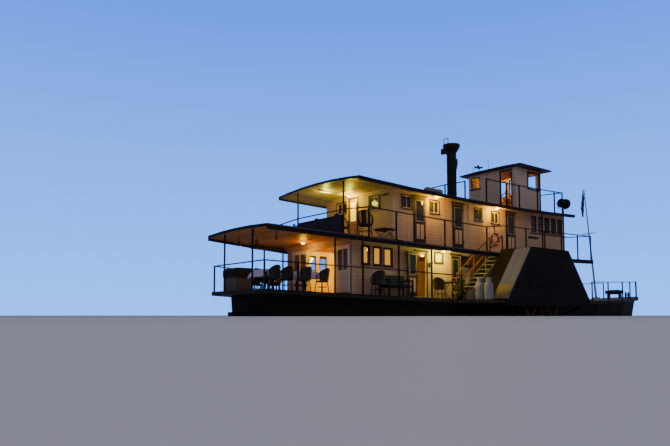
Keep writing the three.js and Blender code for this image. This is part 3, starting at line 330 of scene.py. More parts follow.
paints = {
    "hull": boardPaint("hullPaint", (0.007, 0.007, 0.008), (0.005, 0.005, 0.006), (0.002, 0.002, 0.002),
        (0.016, 0.013, 0.012), "X", 1.9, 0.012, rough=(0.45, 0.65), soiled=0.4, depth=0.01,
        fixed={"Specular IOR Level": 0.12}),
    "mainDeck": deckPaint("mainDeckPlanks", (0.24, 0.18, 0.14), (0.15, 0.115, 0.09), (0.018, 0.014, 0.013),
        (0.015, 0.013, 0.012), (0.01, 0.009, 0.009), fixed={"Specular IOR Level": 0.2}),
    # upper deck and roof: the orange and yellow of their undersides are stained ceiling boards and partly painted warm
    # lamp light
    "upperDeck": deckPaint("upperDeckPlanks", (0.20, 0.165, 0.14), (0.13, 0.11, 0.095), (0.010, 0.007, 0.008),
        (0.60, 0.25, 0.06), (0.42, 0.15, 0.03), fixed={"Specular IOR Level": 0.12}),
    "upperRoof": deckPaint("roofCanvas", (0.10, 0.095, 0.10), (0.075, 0.07, 0.072), (0.016, 0.007, 0.006),
        (0.62, 0.48, 0.19), (0.50, 0.36, 0.12), 0.9, fixed={"Specular IOR Level": 0.15}),
    "wheelhouseRoof": deckPaint("wheelhouseRoofPaint", (0.09, 0.085, 0.09), (0.07, 0.065, 0.068),
        (0.018, 0.007, 0.006), (0.10, 0.025, 0.017), (0.07, 0.018, 0.012), 0.3, fixed={"Specular IOR Level": 0.3}),
    "cream": boardPaint("creamWeatherboards", (0.66, 0.41, 0.25), (0.60, 0.37, 0.22), (0.30, 0.16, 0.09),
        (0.38, 0.21, 0.12), "Z", 0.125, 0.07, 0.8, soiled=0.4, depth=0.005),
    "wheelhouse": boardPaint("wheelhouseBoards", (0.82, 0.60, 0.43), (0.76, 0.545, 0.39), (0.29, 0.20, 0.16),
        (0.32, 0.22, 0.17), "Z", 0.14, 0.06, 0.8, soiled=0.35, depth=0.005),
    "blackBoards": boardPaint("blackBoards", (0.013, 0.010, 0.010), (0.008, 0.006, 0.006), (0.002, 0.002, 0.002),
        (0.030, 0.020, 0.016), "Z", 0.19, 0.07, 0.5, rough=(0.5, 0.7), depth=0.012, fixed={"Specular IOR Level":
        0.12}),
    "slopeBoards": boardPaint("slopeBoards", (0.19, 0.185, 0.33), (0.14, 0.135, 0.23), (0.06, 0.05, 0.06),
        (0.13, 0.095, 0.09), "Y", 0.17, 0.04, soiled=0.5, size=1.6, depth=0.004),
    "ochreBoards": boardPaint("ochreBoards", (0.27, 0.195, 0.085), (0.22, 0.155, 0.07), (0.09, 0.06, 0.03),
        (0.15, 0.10, 0.06), "Y", 0.17, 0.05, soiled=0.45, size=1.6),
    "redIron": coat("redIron", (0.17, 0.025, 0.016), (0.12, 0.02, 0.014), (0.06, 0.028, 0.018), (0.5, 0.75), 0.5),
    "gloss": coat("glossBlack", (0.010, 0.008, 0.009), (0.016, 0.012, 0.012), (0.07, 0.035, 0.025), (0.45, 0.65),
        0.12, 2.0, fixed={"Specular IOR Level": 0.2}),
    "iron": coat("machineIron", (0.07, 0.07, 0.075), (0.045, 0.042, 0.042), (0.12, 0.06, 0.035), (0.4, 0.65), 0.35,
        2.0, fixed={"Metallic": 0.7}),
    "funnel": coat("funnelPaint", (0.010, 0.009, 0.010), (0.018, 0.014, 0.014), (0.07, 0.035, 0.022), (0.5, 0.7),
        0.25, 1.0, fixed={"Specular IOR Level": 0.25}),
    "pale": coat("palePaint", (0.25, 0.24, 0.33), (0.19, 0.18, 0.25), (0.14, 0.10, 0.085), (0.4, 0.6), 0.4, 2.0),
    "brass": coat("brass", (0.56, 0.40, 0.16), (0.40, 0.27, 0.10), (0.16, 0.10, 0.05), (0.2, 0.4), 0.3, 3.0,
        fixed={"Metallic": 1.0}),
    "whiteDoor": coat("whiteDoorPaint", (0.66, 0.61, 0.66), (0.56, 0.51, 0.56), (0.30, 0.24, 0.22), (0.35, 0.55),
        0.15, 1.5),
    "creamTrim": coat("creamTrim", (0.62, 0.42, 0.27), (0.53, 0.35, 0.22), (0.28, 0.17, 0.11), (0.4, 0.6), 0.2, 2.0),
    "redTrim": coat("darkRedTrim", (0.060, 0.012, 0.009), (0.040, 0.009, 0.007), (0.02, 0.008, 0.007), (0.4, 0.6),
        0.2, 2.0, fixed={"Specular IOR Level": 0.3}),
    "navy": coat("navyPaint", (0.034, 0.026, 0.050), (0.042, 0.033, 0.060), (0.04, 0.035, 0.045), (0.45, 0.65), 0.2,
        1.5, fixed={"Specular IOR Level": 0.15}),
    "mast": coat("mastPaint", (0.62, 0.56, 0.47), (0.52, 0.46, 0.38), (0.25, 0.18, 0.12), (0.4, 0.6), 0.25, 3.0),
    "lilac": coat("lilacLine", (0.085, 0.07, 0.12), (0.06, 0.05, 0.085), (0.04, 0.035, 0.04), (0.4, 0.6), 0.3, 2.0),
    "ringRed": coat("ringRed", (0.50, 0.05, 0.02), (0.38, 0.04, 0.02), (0.30, 0.14, 0.10), (0.4, 0.6), 0.15, 4.0),
    "ringWhite": coat("ringWhite", (0.55, 0.50, 0.46), (0.45, 0.41, 0.38), (0.4, 0.36, 0.32), (0.45, 0.65), 0.15,
        4.0),
    "varnish": woodFinish("varnishedWood", (0.46, 0.21, 0.075), (0.25, 0.10, 0.035)),
    "darkWood": woodFinish("darkStainedWood", (0.045, 0.022, 0.016), (0.018, 0.010, 0.008), (5.0, 5.0, 0.7)),
    "brown": woodFinish("brownJoinery", (0.050, 0.017, 0.010), (0.026, 0.010, 0.007), (8.0, 8.0, 0.8), (0.4, 0.6),
        {"Specular IOR Level": 0.25}),
    "tableCloth": clothFinish("tableClothLinen", (0.80, 0.73, 0.95), (0.64, 0.57, 0.82)),
    "darkCurtain": clothFinish("darkCurtainCotton", (0.060, 0.062, 0.090), (0.040, 0.042, 0.062)),
    "curtain": clothFinish("curtainCotton", (0.66, 0.58, 0.66), (0.46, 0.38, 0.46)),
    "flag": clothFinish("flagCloth", (0.018, 0.020, 0.045), (0.010, 0.012, 0.028)),
    "cushion": clothFinish("cushionCanvas", (0.30, 0.24, 0.22), (0.20, 0.16, 0.15), 500.0, rolled=True),
    "darkCanvas": clothFinish("darkBlindCanvas", (0.030, 0.024, 0.022), (0.016, 0.012, 0.011), 500.0, rolled=True),
    "varnishedBoards": woodFinish("varnishedWallBoards", (0.34, 0.12, 0.04), (0.20, 0.062, 0.02), (6.0, 6.0, 0.6)),
    "lampWarm": glow("lampWarmGlass", (1.0, 0.62, 0.12), (1.0, 0.50, 0.07), 7.0),
    "litPaper": coat("litBoardPaper", (0.22, 0.13, 0.06), (0.17, 0.10, 0.045), (0.13, 0.08, 0.04), (0.5, 0.7), 0.2,
        4.0),
    # painted light: this blind glows by its own emission, in place of the saloon's lamps behind it
    "litAmber": glow("litAmberBlind", (1.0, 0.40, 0.03), (1.0, 0.52, 0.06), 1.5),
    "frameTrim": coat("darkFrameTrim", (0.026, 0.010, 0.008), (0.019, 0.008, 0.006), (0.02, 0.009, 0.007),
        (0.45, 0.6), 0.2, 2.0, fixed={"Specular IOR Level": 0.25}),
    # ceiling battens: orange and yellow stained wood, partly painted warm lamp light like the ceilings above them
    "orangeBatten": woodFinish("orangeBatten", (0.46, 0.18, 0.045), (0.34, 0.12, 0.028), (8.0, 0.8, 8.0), (0.5, 0.7),
        {"Specular IOR Level": 0.1}),
    "yellowBatten": woodFinish("yellowBatten", (0.52, 0.40, 0.16), (0.44, 0.32, 0.11), (8.0, 0.8, 8.0), (0.5, 0.7),
        {"Specular IOR Level": 0.1}),
    "nosing": coat("nosingPaint", (0.36, 0.32, 0.23), (0.29, 0.25, 0.18), (0.20, 0.16, 0.12), (0.45, 0.65), 0.35,
        3.0),
    "lampWhite": glow("lampWhiteGlass", (1.0, 0.86, 0.52), (1.0, 0.78, 0.42), 0.6),
    # painted light: this pane glows by its own emission, in place of a lit room behind it
    "litPane": glow("litYellowPane", (1.0, 0.78, 0.08), (1.0, 0.66, 0.05), 1.2),
}


def glassFinish(name, cover):
    fixed = {"Alpha": cover, "IOR": 1.45, "Base Color": (0.03, 0.035, 0.045)}
    material, tree, shader, place = startMaterial(name, fixed)
    smears = noise(tree, stretch(tree, place, (2.0, 2.0, 0.6)), 4.0, 4.0)
    tree.links.new(spread(tree, smears, 0.4, 0.7, 0.03, 0.16), shader.inputs["Roughness"])
    return material


# Wicker: flat canes that cross over and under on Object coordinates
def wickerFinish():
    tree, place, marks, finish = startWeathered("wickerCane", {"Specular IOR Level": 0.3}, 3.0)
    parts = axes(tree, place)
    around = calc(tree, "ADD", parts["X"], times(tree, parts["Y"], 0.8))
    crossing = addNode(tree, "ShaderNodeCombineXYZ", {0: around, 1: parts["Z"]}).outputs[0]
    canes = useGroup(tree, weave, {"Vector": crossing, "Threads": 190.0})
    paint = tint(tree, canes["Height"], (0.014, 0.011, 0.011), (0.040, 0.031, 0.028))
    paint = tint(tree, times(tree, canes["Gap"], 0.8), paint, (0.006, 0.005, 0.005))
    return finish(paint, (0.4, 0.65), canes["Height"], 0.8, 0.006)


# Small framed picture: a plain blend of soft shapes
def pictureFinish():
    material, tree, shader, place = startMaterial("pictureSheet", {})
    shapes = spread(tree, noise(tree, place, 6.0, 3.0, 1.0), 0.4, 0.62)
    paper = tint(tree, shapes, (0.62, 0.55, 0.42), (0.25, 0.16, 0.10))
    tree.links.new(paper, shader.inputs["Base Color"])
    tree.links.new(spread(tree, shapes, 0.0, 1.0, 0.3, 0.5), shader.inputs["Roughness"])
    return material


# Locker: grey body below its lid's edge, near-black lid above it
def lockerFinish(lidEdge):
    tree, place, marks, finish = startWeathered("lockerPaint", {"Specular IOR Level": 0.3}, 1.6)
    parts = axes(tree, place)
    lines = useGroup(tree, boardLines, {"Across": parts["Y"], "Pitch": 0.15, "Joint": 0.05})
    body = tint(tree, lines["Board"], (0.15, 0.115, 0.12), (0.12, 0.09, 0.095))
    body = tint(tree, times(tree, marks["Runs"], 0.5), body, (0.10, 0.08, 0.08))
    body = tint(tree, times(tree, lines["Joint"], 0.7), body, (0.05, 0.04, 0.042))
    lid = tint(tree, times(tree, marks["Blotch"], 0.6), (0.008, 0.007, 0.008), (0.016, 0.013, 0.014))
    paint = tint(tree, spread(tree, parts["Z"], lidEdge - 0.001, lidEdge + 0.001), body, lid)
    return finish(paint, (0.5, 0.7), marks["Grain"], 0.2, 0.003)


# Stairs: varnished handrails above the slope, worn treads between two painted stringers
def stairFinish():
    tree, place, marks, finish = startWeathered("stairPaintAndWood", {"Specular IOR Level": 0.4}, 2.0)
    parts = axes(tree, place)
    foot, head = (-5.0, mainTop(-5.0)), (-2.4, upperTop(-2.4, 2.2))
    slope = (head[1] - foot[1]) / (head[0] - foot[0])
    along = times(tree, calc(tree, "SUBTRACT", parts["X"], foot[0]), slope)
    above = calc(tree, "SUBTRACT", calc(tree, "SUBTRACT", parts["Z"], foot[1]), along)
    across = calc(tree, "ABSOLUTE", calc(tree, "SUBTRACT", calc(tree, "ABSOLUTE", parts["Y"]), 2.55))
    figure = useGroup(tree, woodFigure, {"Vector": stretch(tree, place, (2.0, 7.0, 7.0))})["Figure"]
    treads = tint(tree, figure, (0.15, 0.12, 0.085), (0.10, 0.08, 0.055))
    treads = tint(tree, times(tree, marks["Blotch"], 0.5), treads, (0.06, 0.048, 0.036))
    stringers = tint(tree, times(tree, marks["Runs"], 0.6), (0.30, 0.235, 0.185), (0.14, 0.10, 0.08))
    rails = tint(tree, figure, (0.42, 0.17, 0.06), (0.24, 0.085, 0.03))
    paint = tint(tree, spread(tree, across, 0.299, 0.301), treads, stringers)
    paint = tint(tree, spread(tree, above, 0.30, 0.302), paint, rails)
    paint = tint(tree, spread(tree, parts["Z"], head[1] + 0.06, head[1] + 0.08), paint, (0.012, 0.009, 0.008))
    return finish(paint, (0.4, 0.6), figure, 0.25, 0.003)


paints["glass"], paints["darkGlass"] = glassFinish("windowGlass", 0.32), glassFinish("darkWindowGlass", 0.78)
paints["wicker"], paints["picture"] = wickerFinish(), pictureFinish()
paints["locker"] = lockerFinish(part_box("deck_locker")[1][2] - 0.355)
paints["stairs"] = stairFinish()
print("materials:", len(paints))

nodePaints = {
    "hull": "hull", "sponson_starboard": "hull", "sponson_port": "hull", "rudder": "hull", "main_deck": "mainDeck",
    "upper_roof": "upperRoof", "wheelhouse_roof": "wheelhouseRoof",
    "paddle_box_starboard": "blackBoards", "paddle_box_port": "blackBoards", "paddle_wheels": "redIron",
    "boiler": "iron", "engine": "iron", "windlass": "iron", "wheelhouse_walls": "wheelhouse", "funnel": "funnel",
    "searchlight": "gloss", "stern_board": "navy", "mast": "mast", "deck_locker": "locker", "side_bench": "gloss",
    "helm_stand": "varnish", "helm_wheel": "varnish", "stairs_starboard": "stairs", "stairs_port": "stairs",
    "gas_bottle_1": "pale", "gas_bottle_2": "pale",
}


def nodePaint(name):
    if name in nodePaints:
        return nodePaints[name]
    if "wall" in name:
        return "cream"
    if name.startswith("upper_deck") and "railing" not in name:
        return "upperDeck"
    if name.startswith("saloon_door"):
        return "whiteDoor"
    if "_door_" in name:
        return "brown"
    return "varnish" if name.startswith("dining_table") else "gloss"


for name, node in nodes.items():
    node.data.materials.clear()
    node.data.materials.append(paints[nodePaint(name)])


# Trim starts this far off the face behind it
clear = 0.0005


# Mesh tools: each adds one closed shell to a bmesh; paint is the index of its material

def addLoft(bm, rings, paint=0, closed=False):
    loops = [[bm.verts.new(point) for point in ring] for ring in rings]
    count = len(loops[0])
    pairs = list(zip(loops, loops[1:])) + ([(loops[-1], loops[0])] if closed else [])
    made = [bm.faces.new((low[i], low[(i + 1) % count], high[(i + 1) % count], high[i]))
            for low, high in pairs for i in range(count)]
    if not closed:
        made += [bm.faces.new(loops[0][::-1]), bm.faces.new(loops[-1])]
    for face in made:
        face.material_index = paint
    return made


def addBox(bm, x, y, z, paint=0, place=None):
    place = place or Matrix()
    rings = [[place @ Vector((x[i], y[j], z[k])) for i, j in ((0, 0), (1, 0), (1, 1), (0, 1))] for k in (0, 1)]
    return addLoft(bm, rings, paint)


# Two uprights with two rails between them; the rails stop short of the uprights by the gap
def addFrame(bm, x, y, z, wide, paint=0, place=None, gap=0.0):
    for upright in ((x[0], x[0] + wide), (x[1] - wide, x[1])):
        addBox(bm, upright, y, z, paint, place)
    for rail in ((z[0], z[0] + wide), (z[1] - wide, z[1])):
        addBox(bm, (x[0] + wide + gap, x[1] - wide - gap), y, rail, paint, place)


# From one distance off the centreline to another, on one side
def offCentre(side, near, far):
    return sorted((side * near, side * far))


def addTube(bm, path, radius, paint=0, steps=8, closed=False):
    points = [Vector(point) for point in path]
    count = len(points)
    widths = radius if isinstance(radius, (list, tuple)) else [radius] * count
    rings, side = [], None
    for i, point in enumerate(points):
        before = points[i - 1] if closed or i else point
        after = points[(i + 1) % count] if closed or i + 1 < count else point
        along = (after - before).normalized()
        if side is None:
            side = along.orthogonal().normalized()
        side = (side - along * side.dot(along)).normalized()
        other = along.cross(side)
        angles = [2 * math.pi * j / steps for j in range(steps)]
        rings.append([point + (side * math.cos(a) + other * math.sin(a)) * widths[i] for a in angles])
    return addLoft(bm, rings, paint, closed)


# Turned shell about an axis through the place's origin; the profile is [radius, height] pairs from end to end
def addTurned(bm, profile, place, paint=0, steps=20):
    rings = [[place @ Vector((r * math.cos(2 * math.pi * j / steps), r * math.sin(2 * math.pi * j / steps), h))
              for j in range(steps)] for r, h in profile]
    return addLoft(bm, rings, paint)


def at(x, y, z, axis=None):
    place = Matrix.Translation((x, y, z))
    if axis is None:
        return place
    return place @ Vector(axis).to_track_quat("Z", "Y").to_matrix().to_4x4()


def arc(centre, radius, start, end, count, plane="XZ"):
    points = []
    for i in range(count):
        angle = start + (end - start) * i / (count - 1)
        u, v = radius * math.cos(angle), radius * math.sin(angle)
        offset = {"XZ": (u, 0, v), "YZ": (0, u, v), "XY": (u, v, 0)}[plane]
        points.append(Vector(centre) + Vector(offset))
    return points


def toMesh(bm, name, finishes=(), recalculate=True):
    if recalculate:
        bmesh.ops.recalc_face_normals(bm, faces=bm.faces)
    mesh = bpy.data.meshes.new(name)
    bm.to_mesh(mesh)
    bm.free()
    for finish in finishes:
        mesh.materials.append(finish)
    return mesh


def addPiece(mesh, name, body, smooth, bevel=0.0):
    if smooth:
        mesh.shade_smooth()
        mesh.set_sharp_from_angle(angle=math.radians(35))
    piece = bpy.data.objects.new(name, mesh)
    scene.collection.objects.link(piece)
    if bevel:
        edges = piece.modifiers.new("bevel", "BEVEL")
        edges.width, edges.segments, edges.limit_method = bevel, 1, "ANGLE"
    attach(piece, body)
    return piece


def makeObject(bm, name, finishes, body="vessel", bevel=0.0, smooth=False):
    mesh = toMesh(bm, name, [paints[finish] for finish in finishes])
    return addPiece(mesh, name, body, smooth, bevel)


# Geometry Nodes: one item repeated along a straight row, or round a ring
def treeSocket(tree, label, kind, value=None):
    socket = tree.interface.new_socket(label, in_out="INPUT", socket_type="NodeSocket" + kind)
    if value is not None:
        socket.default_value = value


def makeRowTree(name, ring):
    tree = bpy.data.node_groups.new(name, "GeometryNodeTree")
    treeSocket(tree, "Item", "Object")
    treeSocket(tree, "Count", "Int", 4)
    treeSocket(tree, "Finish", "Material")
    treeSocket(tree, "Jitter", "Float", 0.0)
    for label in ("Radius",) if ring else ("Start", "Step"):
        treeSocket(tree, label, "Float" if ring else "Vector")
    tree.interface.new_socket("Geometry", in_out="OUTPUT", socket_type="NodeSocketGeometry")
    given = tree.nodes.new("NodeGroupInput").outputs
    item = addNode(tree, "GeometryNodeObjectInfo", {"Object": given["Item"]}).outputs["Geometry"]
    if ring:
        circle = addNode(tree, "GeometryNodeMeshCircle", {"Vertices": given["Count"], "Radius": given["Radius"]})
        points = circle.outputs["Mesh"]
        place = addNode(tree, "GeometryNodeInputPosition").outputs[0]
        turn = addNode(tree, "FunctionNodeAlignRotationToVector", {"Vector": place}, axis="X").outputs["Rotation"]
    else:
        line = addNode(tree, "GeometryNodeMeshLine", {
            "Count": given["Count"], "Start Location": given["Start"], "Offset": given["Step"]})
        points = line.outputs["Mesh"]
        turn = None
    spreadBy = addNode(tree, "FunctionNodeRandomValue", {"Seed": 5}, data_type="FLOAT")
    connect(tree, spreadBy, {2: calc(tree, "SUBTRACT", 1.0, given["Jitter"]), 3: 1.0})
    values = {"Points": points, "Instance": item, "Scale": spreadBy.outputs[1]}
    if turn is not None:
        values["Rotation"] = turn
    placed = addNode(tree, "GeometryNodeInstanceOnPoints", values).outputs["Instances"]
    real = addNode(tree, "GeometryNodeRealizeInstances", {"Geometry": placed}).outputs["Geometry"]
    made = addNode(tree, "GeometryNodeSetMaterial", {"Geometry": real, "Material": given["Finish"]})
    tree.links.new(made.outputs["Geometry"], tree.nodes.new("NodeGroupOutput").inputs[0])
    return tree


rowTree, ringTree = makeRowTree("rowOfItems", False), makeRowTree("ringOfItems", True)


# Runs one tree on an item and gives back its plain mesh
def repeated(tree, itemBm, finish, inputs):
    item = bpy.data.objects.new("item", toMesh(itemBm, "item"))
    holder = bpy.data.objects.new("holder", bpy.data.meshes.new("holder"))
    for made in (item, holder):
        scene.collection.objects.link(made)
    modifier = holder.modifiers.new("repeat", "NODES")
    modifier.node_group = tree
    values = {"Item": item, "Finish": paints[finish], **inputs}
    for socket in tree.interface.items_tree:
        if socket.in_out == "INPUT" and socket.name in values:
            modifier[socket.identifier] = values[socket.name]
    evaluated = holder.evaluated_get(bpy.context.evaluated_depsgraph_get())
    mesh = bpy.data.meshes.new_from_object(evaluated)
    for gone in (item, holder):
        bpy.data.objects.remove(gone)
    return mesh


# Joins plain meshes into one piece
def gather(name, meshes, body="vessel", places=None, smooth=False):
    bm = bmesh.new()
    finishes = []
    for i, mesh in enumerate(meshes):
        if places:
            mesh.transform(places[i])
        finish = mesh.materials[-1]
        if finish not in finishes:
            finishes.append(finish)
        before = len(bm.faces)
        bm.from_mesh(mesh)
        bm.faces.ensure_lookup_table()
        for face in bm.faces[before:]:
            face.material_index = finishes.index(finish)
    return addPiece(toMesh(bm, name, finishes, recalculate=False), name, body, smooth)


# One piece of rows of boxes, the same on both sides
def addRows(name, finish, boxes, count, start, step):
    meshes = []
    for side in (-1, 1):
        itemBm = bmesh.new()
        for x, y, z in boxes:
            addBox(itemBm, x, offCentre(side, *y), z)
        meshes.append(repeated(rowTree, itemBm, finish, {"Count": count, "Start": Vector(start), "Step": Vector(step)}))
    gather(name, meshes)


# Windows

window = {"casing": 0.042, "proud": 0.022, "sash": 0.038, "pane": 0.006, "bar": 0.022, "sill": 0.05}


# Place on a wall: x runs along it, y out of it and z up
def onWall(origin, along, outward):
    return Matrix.Translation(origin) @ Matrix((along, outward, (0, 0, 1))).transposed().to_4x4()


# Materials in order: casing, sash and bars, glass, sill
def addWindow(bm, place, width, height, wall=0.06, barsAcross=1, barsUp=0, casing=True, sill=True, lit=False):
    c, proud, sash = window["casing"], window["proud"], window["sash"]
    if casing:
        for x in ((-c, 0.004), (width - 0.004, width + c)):
            addBox(bm, x, (clear, proud), (-0.004, height + c), 0, place)
        addBox(bm, (0.004, width - 0.004), (clear, proud), (height - 0.004, height + c), 0, place)
    if sill:
        addBox(bm, (-c - 0.02, width + c + 0.02), (clear, window["sill"]), (-0.045, -0.004), 3, place)
    inner = (0.012 - wall, -0.014)
    addFrame(bm, (0.0, width), inner, (0.0, height), sash, 1, place)
    middle = -wall / 2
    addBox(bm, (sash - 0.004, width - sash + 0.004), (middle - window["pane"] / 2, middle + window["pane"] / 2),
           (sash - 0.004, height - sash + 0.004), 2, place)
    # painted light: the blind glows by its own emission, in place of the saloon's lamps behind it
    if lit:  # a lit blind behind the glass
        addBox(bm, (sash, width - sash), (0.001 - wall, 0.005 - wall), (sash + 0.02, height - sash), 4, place)
    half = window["bar"] / 2
    for i in range(barsAcross):
        x = width * (i + 1) / (barsAcross + 1)
        addBox(bm, (x - half, x + half), (middle - 0.014, middle + 0.014), (sash, height - sash), 1, place)
    for i in range(barsUp):
        z = height * (i + 1) / (barsUp + 1)
        addBox(bm, (sash, width - sash), (middle - 0.012, middle + 0.012), (z - half, z + half), 1, place)


lowerWindows = [(-10.1, -9.75, 1.86, 2.54), (-9.5, -9.13, 1.86, 2.54), (-8.95, -8.55, 1.86, 2.54),
                (-4.34, -3.9, 2.17, 2.56), (2.15, 2.95, 1.9, 2.5)]
upperWindows = [(-7.96, -7.43, 4.28, 4.8), (-6.33, -5.8, 4.27, 4.79), (-3.4, -2.94, 4.27, 4.8),
                (-2.24, -1.7, 4.24, 4.77)]
strip = {"from": 0.85, "pitch": 0.57, "count": 5, "mullion": 0.07, "low": 4.08, "high": 4.88}
stripWindows = [(strip["from"] + i * strip["pitch"], strip["from"] + (i + 1) * strip["pitch"] - strip["mullion"],
                 strip["low"], strip["high"]) for i in range(strip["count"])]
windowFinishes = ("frameTrim", "creamTrim", "darkGlass", "frameTrim")

for sideName, side in sides:
    for deckName, table in (("lower", lowerWindows), ("upper", upperWindows)):
        bm = bmesh.new()
        for x0, x1, z0, z1 in table:
            lift = sheer((x0 + x1) / 2)
            saloon = x1 < -8.5
            lit = saloon and side < 0
            addWindow(bm, onWall((x0, side * cabin["half"], z0 + lift), (1, 0, 0), (0, side, 0)), x1 - x0, z1 - z0,
                      barsAcross=0 if saloon else 1, lit=lit)
        finishes = windowFinishes if deckName == "upper" else ("frameTrim", "brown", "glass", "frameTrim", "litAmber")
        makeObject(bm, f"{deckName}_windows_{sideName}", finishes)
    bm = bmesh.new()
    for x0, x1, z0, z1 in stripWindows:
        lift = sheer((x0 + x1) / 2)
        place = onWall((x0, side * cabin["half"], z0 + lift), (1, 0, 0), (0, side, 0))
        addWindow(bm, place, x1 - x0, z1 - z0, barsAcross=0, barsUp=1, casing=False, sill=False)
    for i in range(strip["count"] + 1):  # covers on the mullions and the sill rail below the whole strip
        x = strip["from"] + i * strip["pitch"] - strip["mullion"]
        lift = sheer(x)
        addBox(bm, (x + 0.008, x + 0.062), offCentre(side, cabin["trim"], 2.122), (4.02 + lift, 4.9 + lift), 0)
    ends = [(strip["from"] - 0.1, 4.0 + sheer(0.75)), (3.78, 4.0 + sheer(3.78))]
    rings = [[(x, side * y, z + h) for y, h in ((cabin["trim"], 0), (2.15, 0), (2.15, 0.04), (cabin["trim"], 0.05))]
             for x, z in ends]
    addLoft(bm, rings, 3)
    makeObject(bm, f"strip_windows_{sideName}", ("creamTrim", "brown", "glass", "redTrim"))

bm = bmesh.new()
endWindows = [("forward", 1, 1.9, 2.5, ((-1.5, -0.6), (0.6, 1.5))),
              ("forward", 1, 4.08, 4.88, ((-1.85, -0.95), (-0.75, -0.08), (0.08, 0.75), (0.95, 1.85))),
              ("upperAft", -1, 4.4, 4.88, ((-1.35, -0.75), (0.75, 1.35)))]
for wall, outward, z0, z1, spans in endWindows:
    for y0, y1 in spans:
        addWindow(bm, onWall((cabin[wall], y0, z0), (0, 1, 0), (outward, 0, 0)), y1 - y0, z1 - z0)
makeObject(bm, "end_windows", windowFinishes)

# Wheelhouse: frames round its openings; those forward and at the sides have no glass, as they stand open
bm = bmesh.new()
addWindow(bm, onWall((0.6, 0.73, 6.68), (0, 1, 0), (-1, 0, 0)), 0.58, 0.6, 0.05, barsAcross=0, casing=False)


def addOpenFrame(bm, place, width, height):
    addFrame(bm, (-0.05, width + 0.05), (-0.046, 0.02), (-0.05, height + 0.05), 0.08, 1, place)


for side in (-1, 1):
    addOpenFrame(bm, onWall((1.65, side * 1.46, 6.45), (1, 0, 0), (0, side, 0)), 0.99, 0.86)
for y0, y1 in ((-1.25, -0.5), (-0.4, 0.4), (0.5, 1.25)):
    addOpenFrame(bm, onWall((2.72, y0, 6.45), (0, 1, 0), (1, 0, 0)), y1 - y0, 0.86)
for side in (-1, 1):  # corner posts forward
    addBox(bm, (2.66, 2.745), offCentre(side, 1.40, 1.484), (roofTop(2.7, 1.46) + 0.002, 7.428), 1)
sill = roofTop(0.6, 1.46) + 0.15
for y in ((-1.26, -1.2), (-0.58, -0.52)):
    addBox(bm, (0.578, 0.645), y, (sill, 7.36), 1)
addBox(bm, (0.578, 0.645), (-1.2, -0.58), (7.30, 7.36), 1)
addBox(bm, (0.565, 0.655), (-1.26, -0.52), (sill - 0.04, sill - 0.002), 3)
makeObject(bm, "wheelhouse_frames", ("redTrim", "redTrim", "glass", "redTrim"), bevel=0.004)
print("windows: done")

# Doors: panels, beads, a glazed upper part with one bar, and a knob on each face

door = {"bead": 0.016, "proud": 0.008, "knob": 0.024, "stem": 0.035}


def addLeafDressing(bm, place, width, low, high, thick=0.04):
    bottom, top = low + 0.008, high - 0.008
    paneLow, paneHigh = bottom + (top - bottom) * 0.48, top - 0.13
    x0, x1 = 0.103, width - 0.103
    addBox(bm, (x0 - 0.003, x1 + 0.003), (-thick / 2 - 0.004, -thick / 2 + 0.004),
           (paneLow - 0.003, paneHigh + 0.003), 2, place)
    bead, proud = door["bead"], door["proud"]
    for face in ((0.0003, proud), (-thick - proud, -thick - 0.0003)):
        addFrame(bm, (x0 - bead, x1 + bead), face, (paneLow - bead, paneHigh + bead), bead + 0.004, 1, place)
        panelLow, panelHigh = bottom + 0.15, paneLow - 0.14
        inset = (x0 + 0.02, x1 - 0.02)
        raised = (face[0], face[1] + 0.005) if face[0] > 0 else (face[0] - 0.005, face[1])
        for panel in ((inset[0], width / 2 - 0.03), (width / 2 + 0.03, inset[1])):
            addBox(bm, panel, face, (panelLow, panelHigh), 1, place)
            addBox(bm, (panel[0] + 0.03, panel[1] - 0.03), raised, (panelLow + 0.05, panelHigh - 0.05), 1, place)
    if width > 0.8:
        addBox(bm, (width / 2 - 0.024, width / 2 + 0.024), (-thick - 0.004, 0.004), (paneLow, paneHigh), 1, place)
    knobZ = low + 1.0
    for outward, start in ((1, 0.0), (-1, -thick)):
        spindle = place @ at(width - 0.055, start, knobZ, (0, outward, 0))
        r, stem = door["knob"], door["stem"]
        addTurned(bm, [(0.004, 0.0003), (r * 0.9, 0.0003), (r * 0.9, 0.006), (0.009, 0.010), (0.009, stem - 0.008),
                       (r * 0.8, stem), (r, stem + 0.010), (r * 0.8, stem + 0.019), (0.005, stem + 0.022)],
                  spindle, 3, 14)


# Columns: body, hinge x, direction of the leaf from its hinge, head, degrees open, opens inwards, span, deck
sideDoors = [
    ("passage_door", -7.2, 1, 2.56, 174, False, (-7.2, -6.6), mainTop),
    ("galley_door", -5.03, 1, 2.56, 0, True, (-5.03, -4.46), mainTop),
    ("aft_cabin_door", -6.6, -1, 4.82, 0, False, (-7.27, -6.6), upperTop),
    ("middle_cabin_door", -4.2, -1, 4.82, 0, False, (-4.88, -4.2), upperTop),
    ("forward_cabin_door", -0.4, -1, 4.82, 0, False, (-1.1, -0.4), upperTop),
]
for sideName, side in sides:
    for doorName, hingeX, along, head, opened, inwards, span, topAt in sideDoors:
        outward = -side if inwards else side
        face = side * (cabin["half"] - (cabin["wall"] if inwards else 0))
        low = max(topAt(x, 2.1) for x in span) + 0.09
        place = onWall((hingeX, face, 0), (along, 0, 0), (0, outward, 0))
        axis = Matrix.Translation((hingeX, face + outward * 0.015, 0))
        turn = Matrix.Rotation(math.radians(opened) * along * outward, 4, "Z")
        bm = bmesh.new()
        addLeafDressing(bm, axis @ turn @ axis.inverted() @ place, span[1] - span[0], low, head + sheer(span[1]))
        body = f"{doorName}_{sideName}"
        makeObject(bm, f"{body}_panels", ("brown", "creamTrim", "darkGlass", "brass"), body)

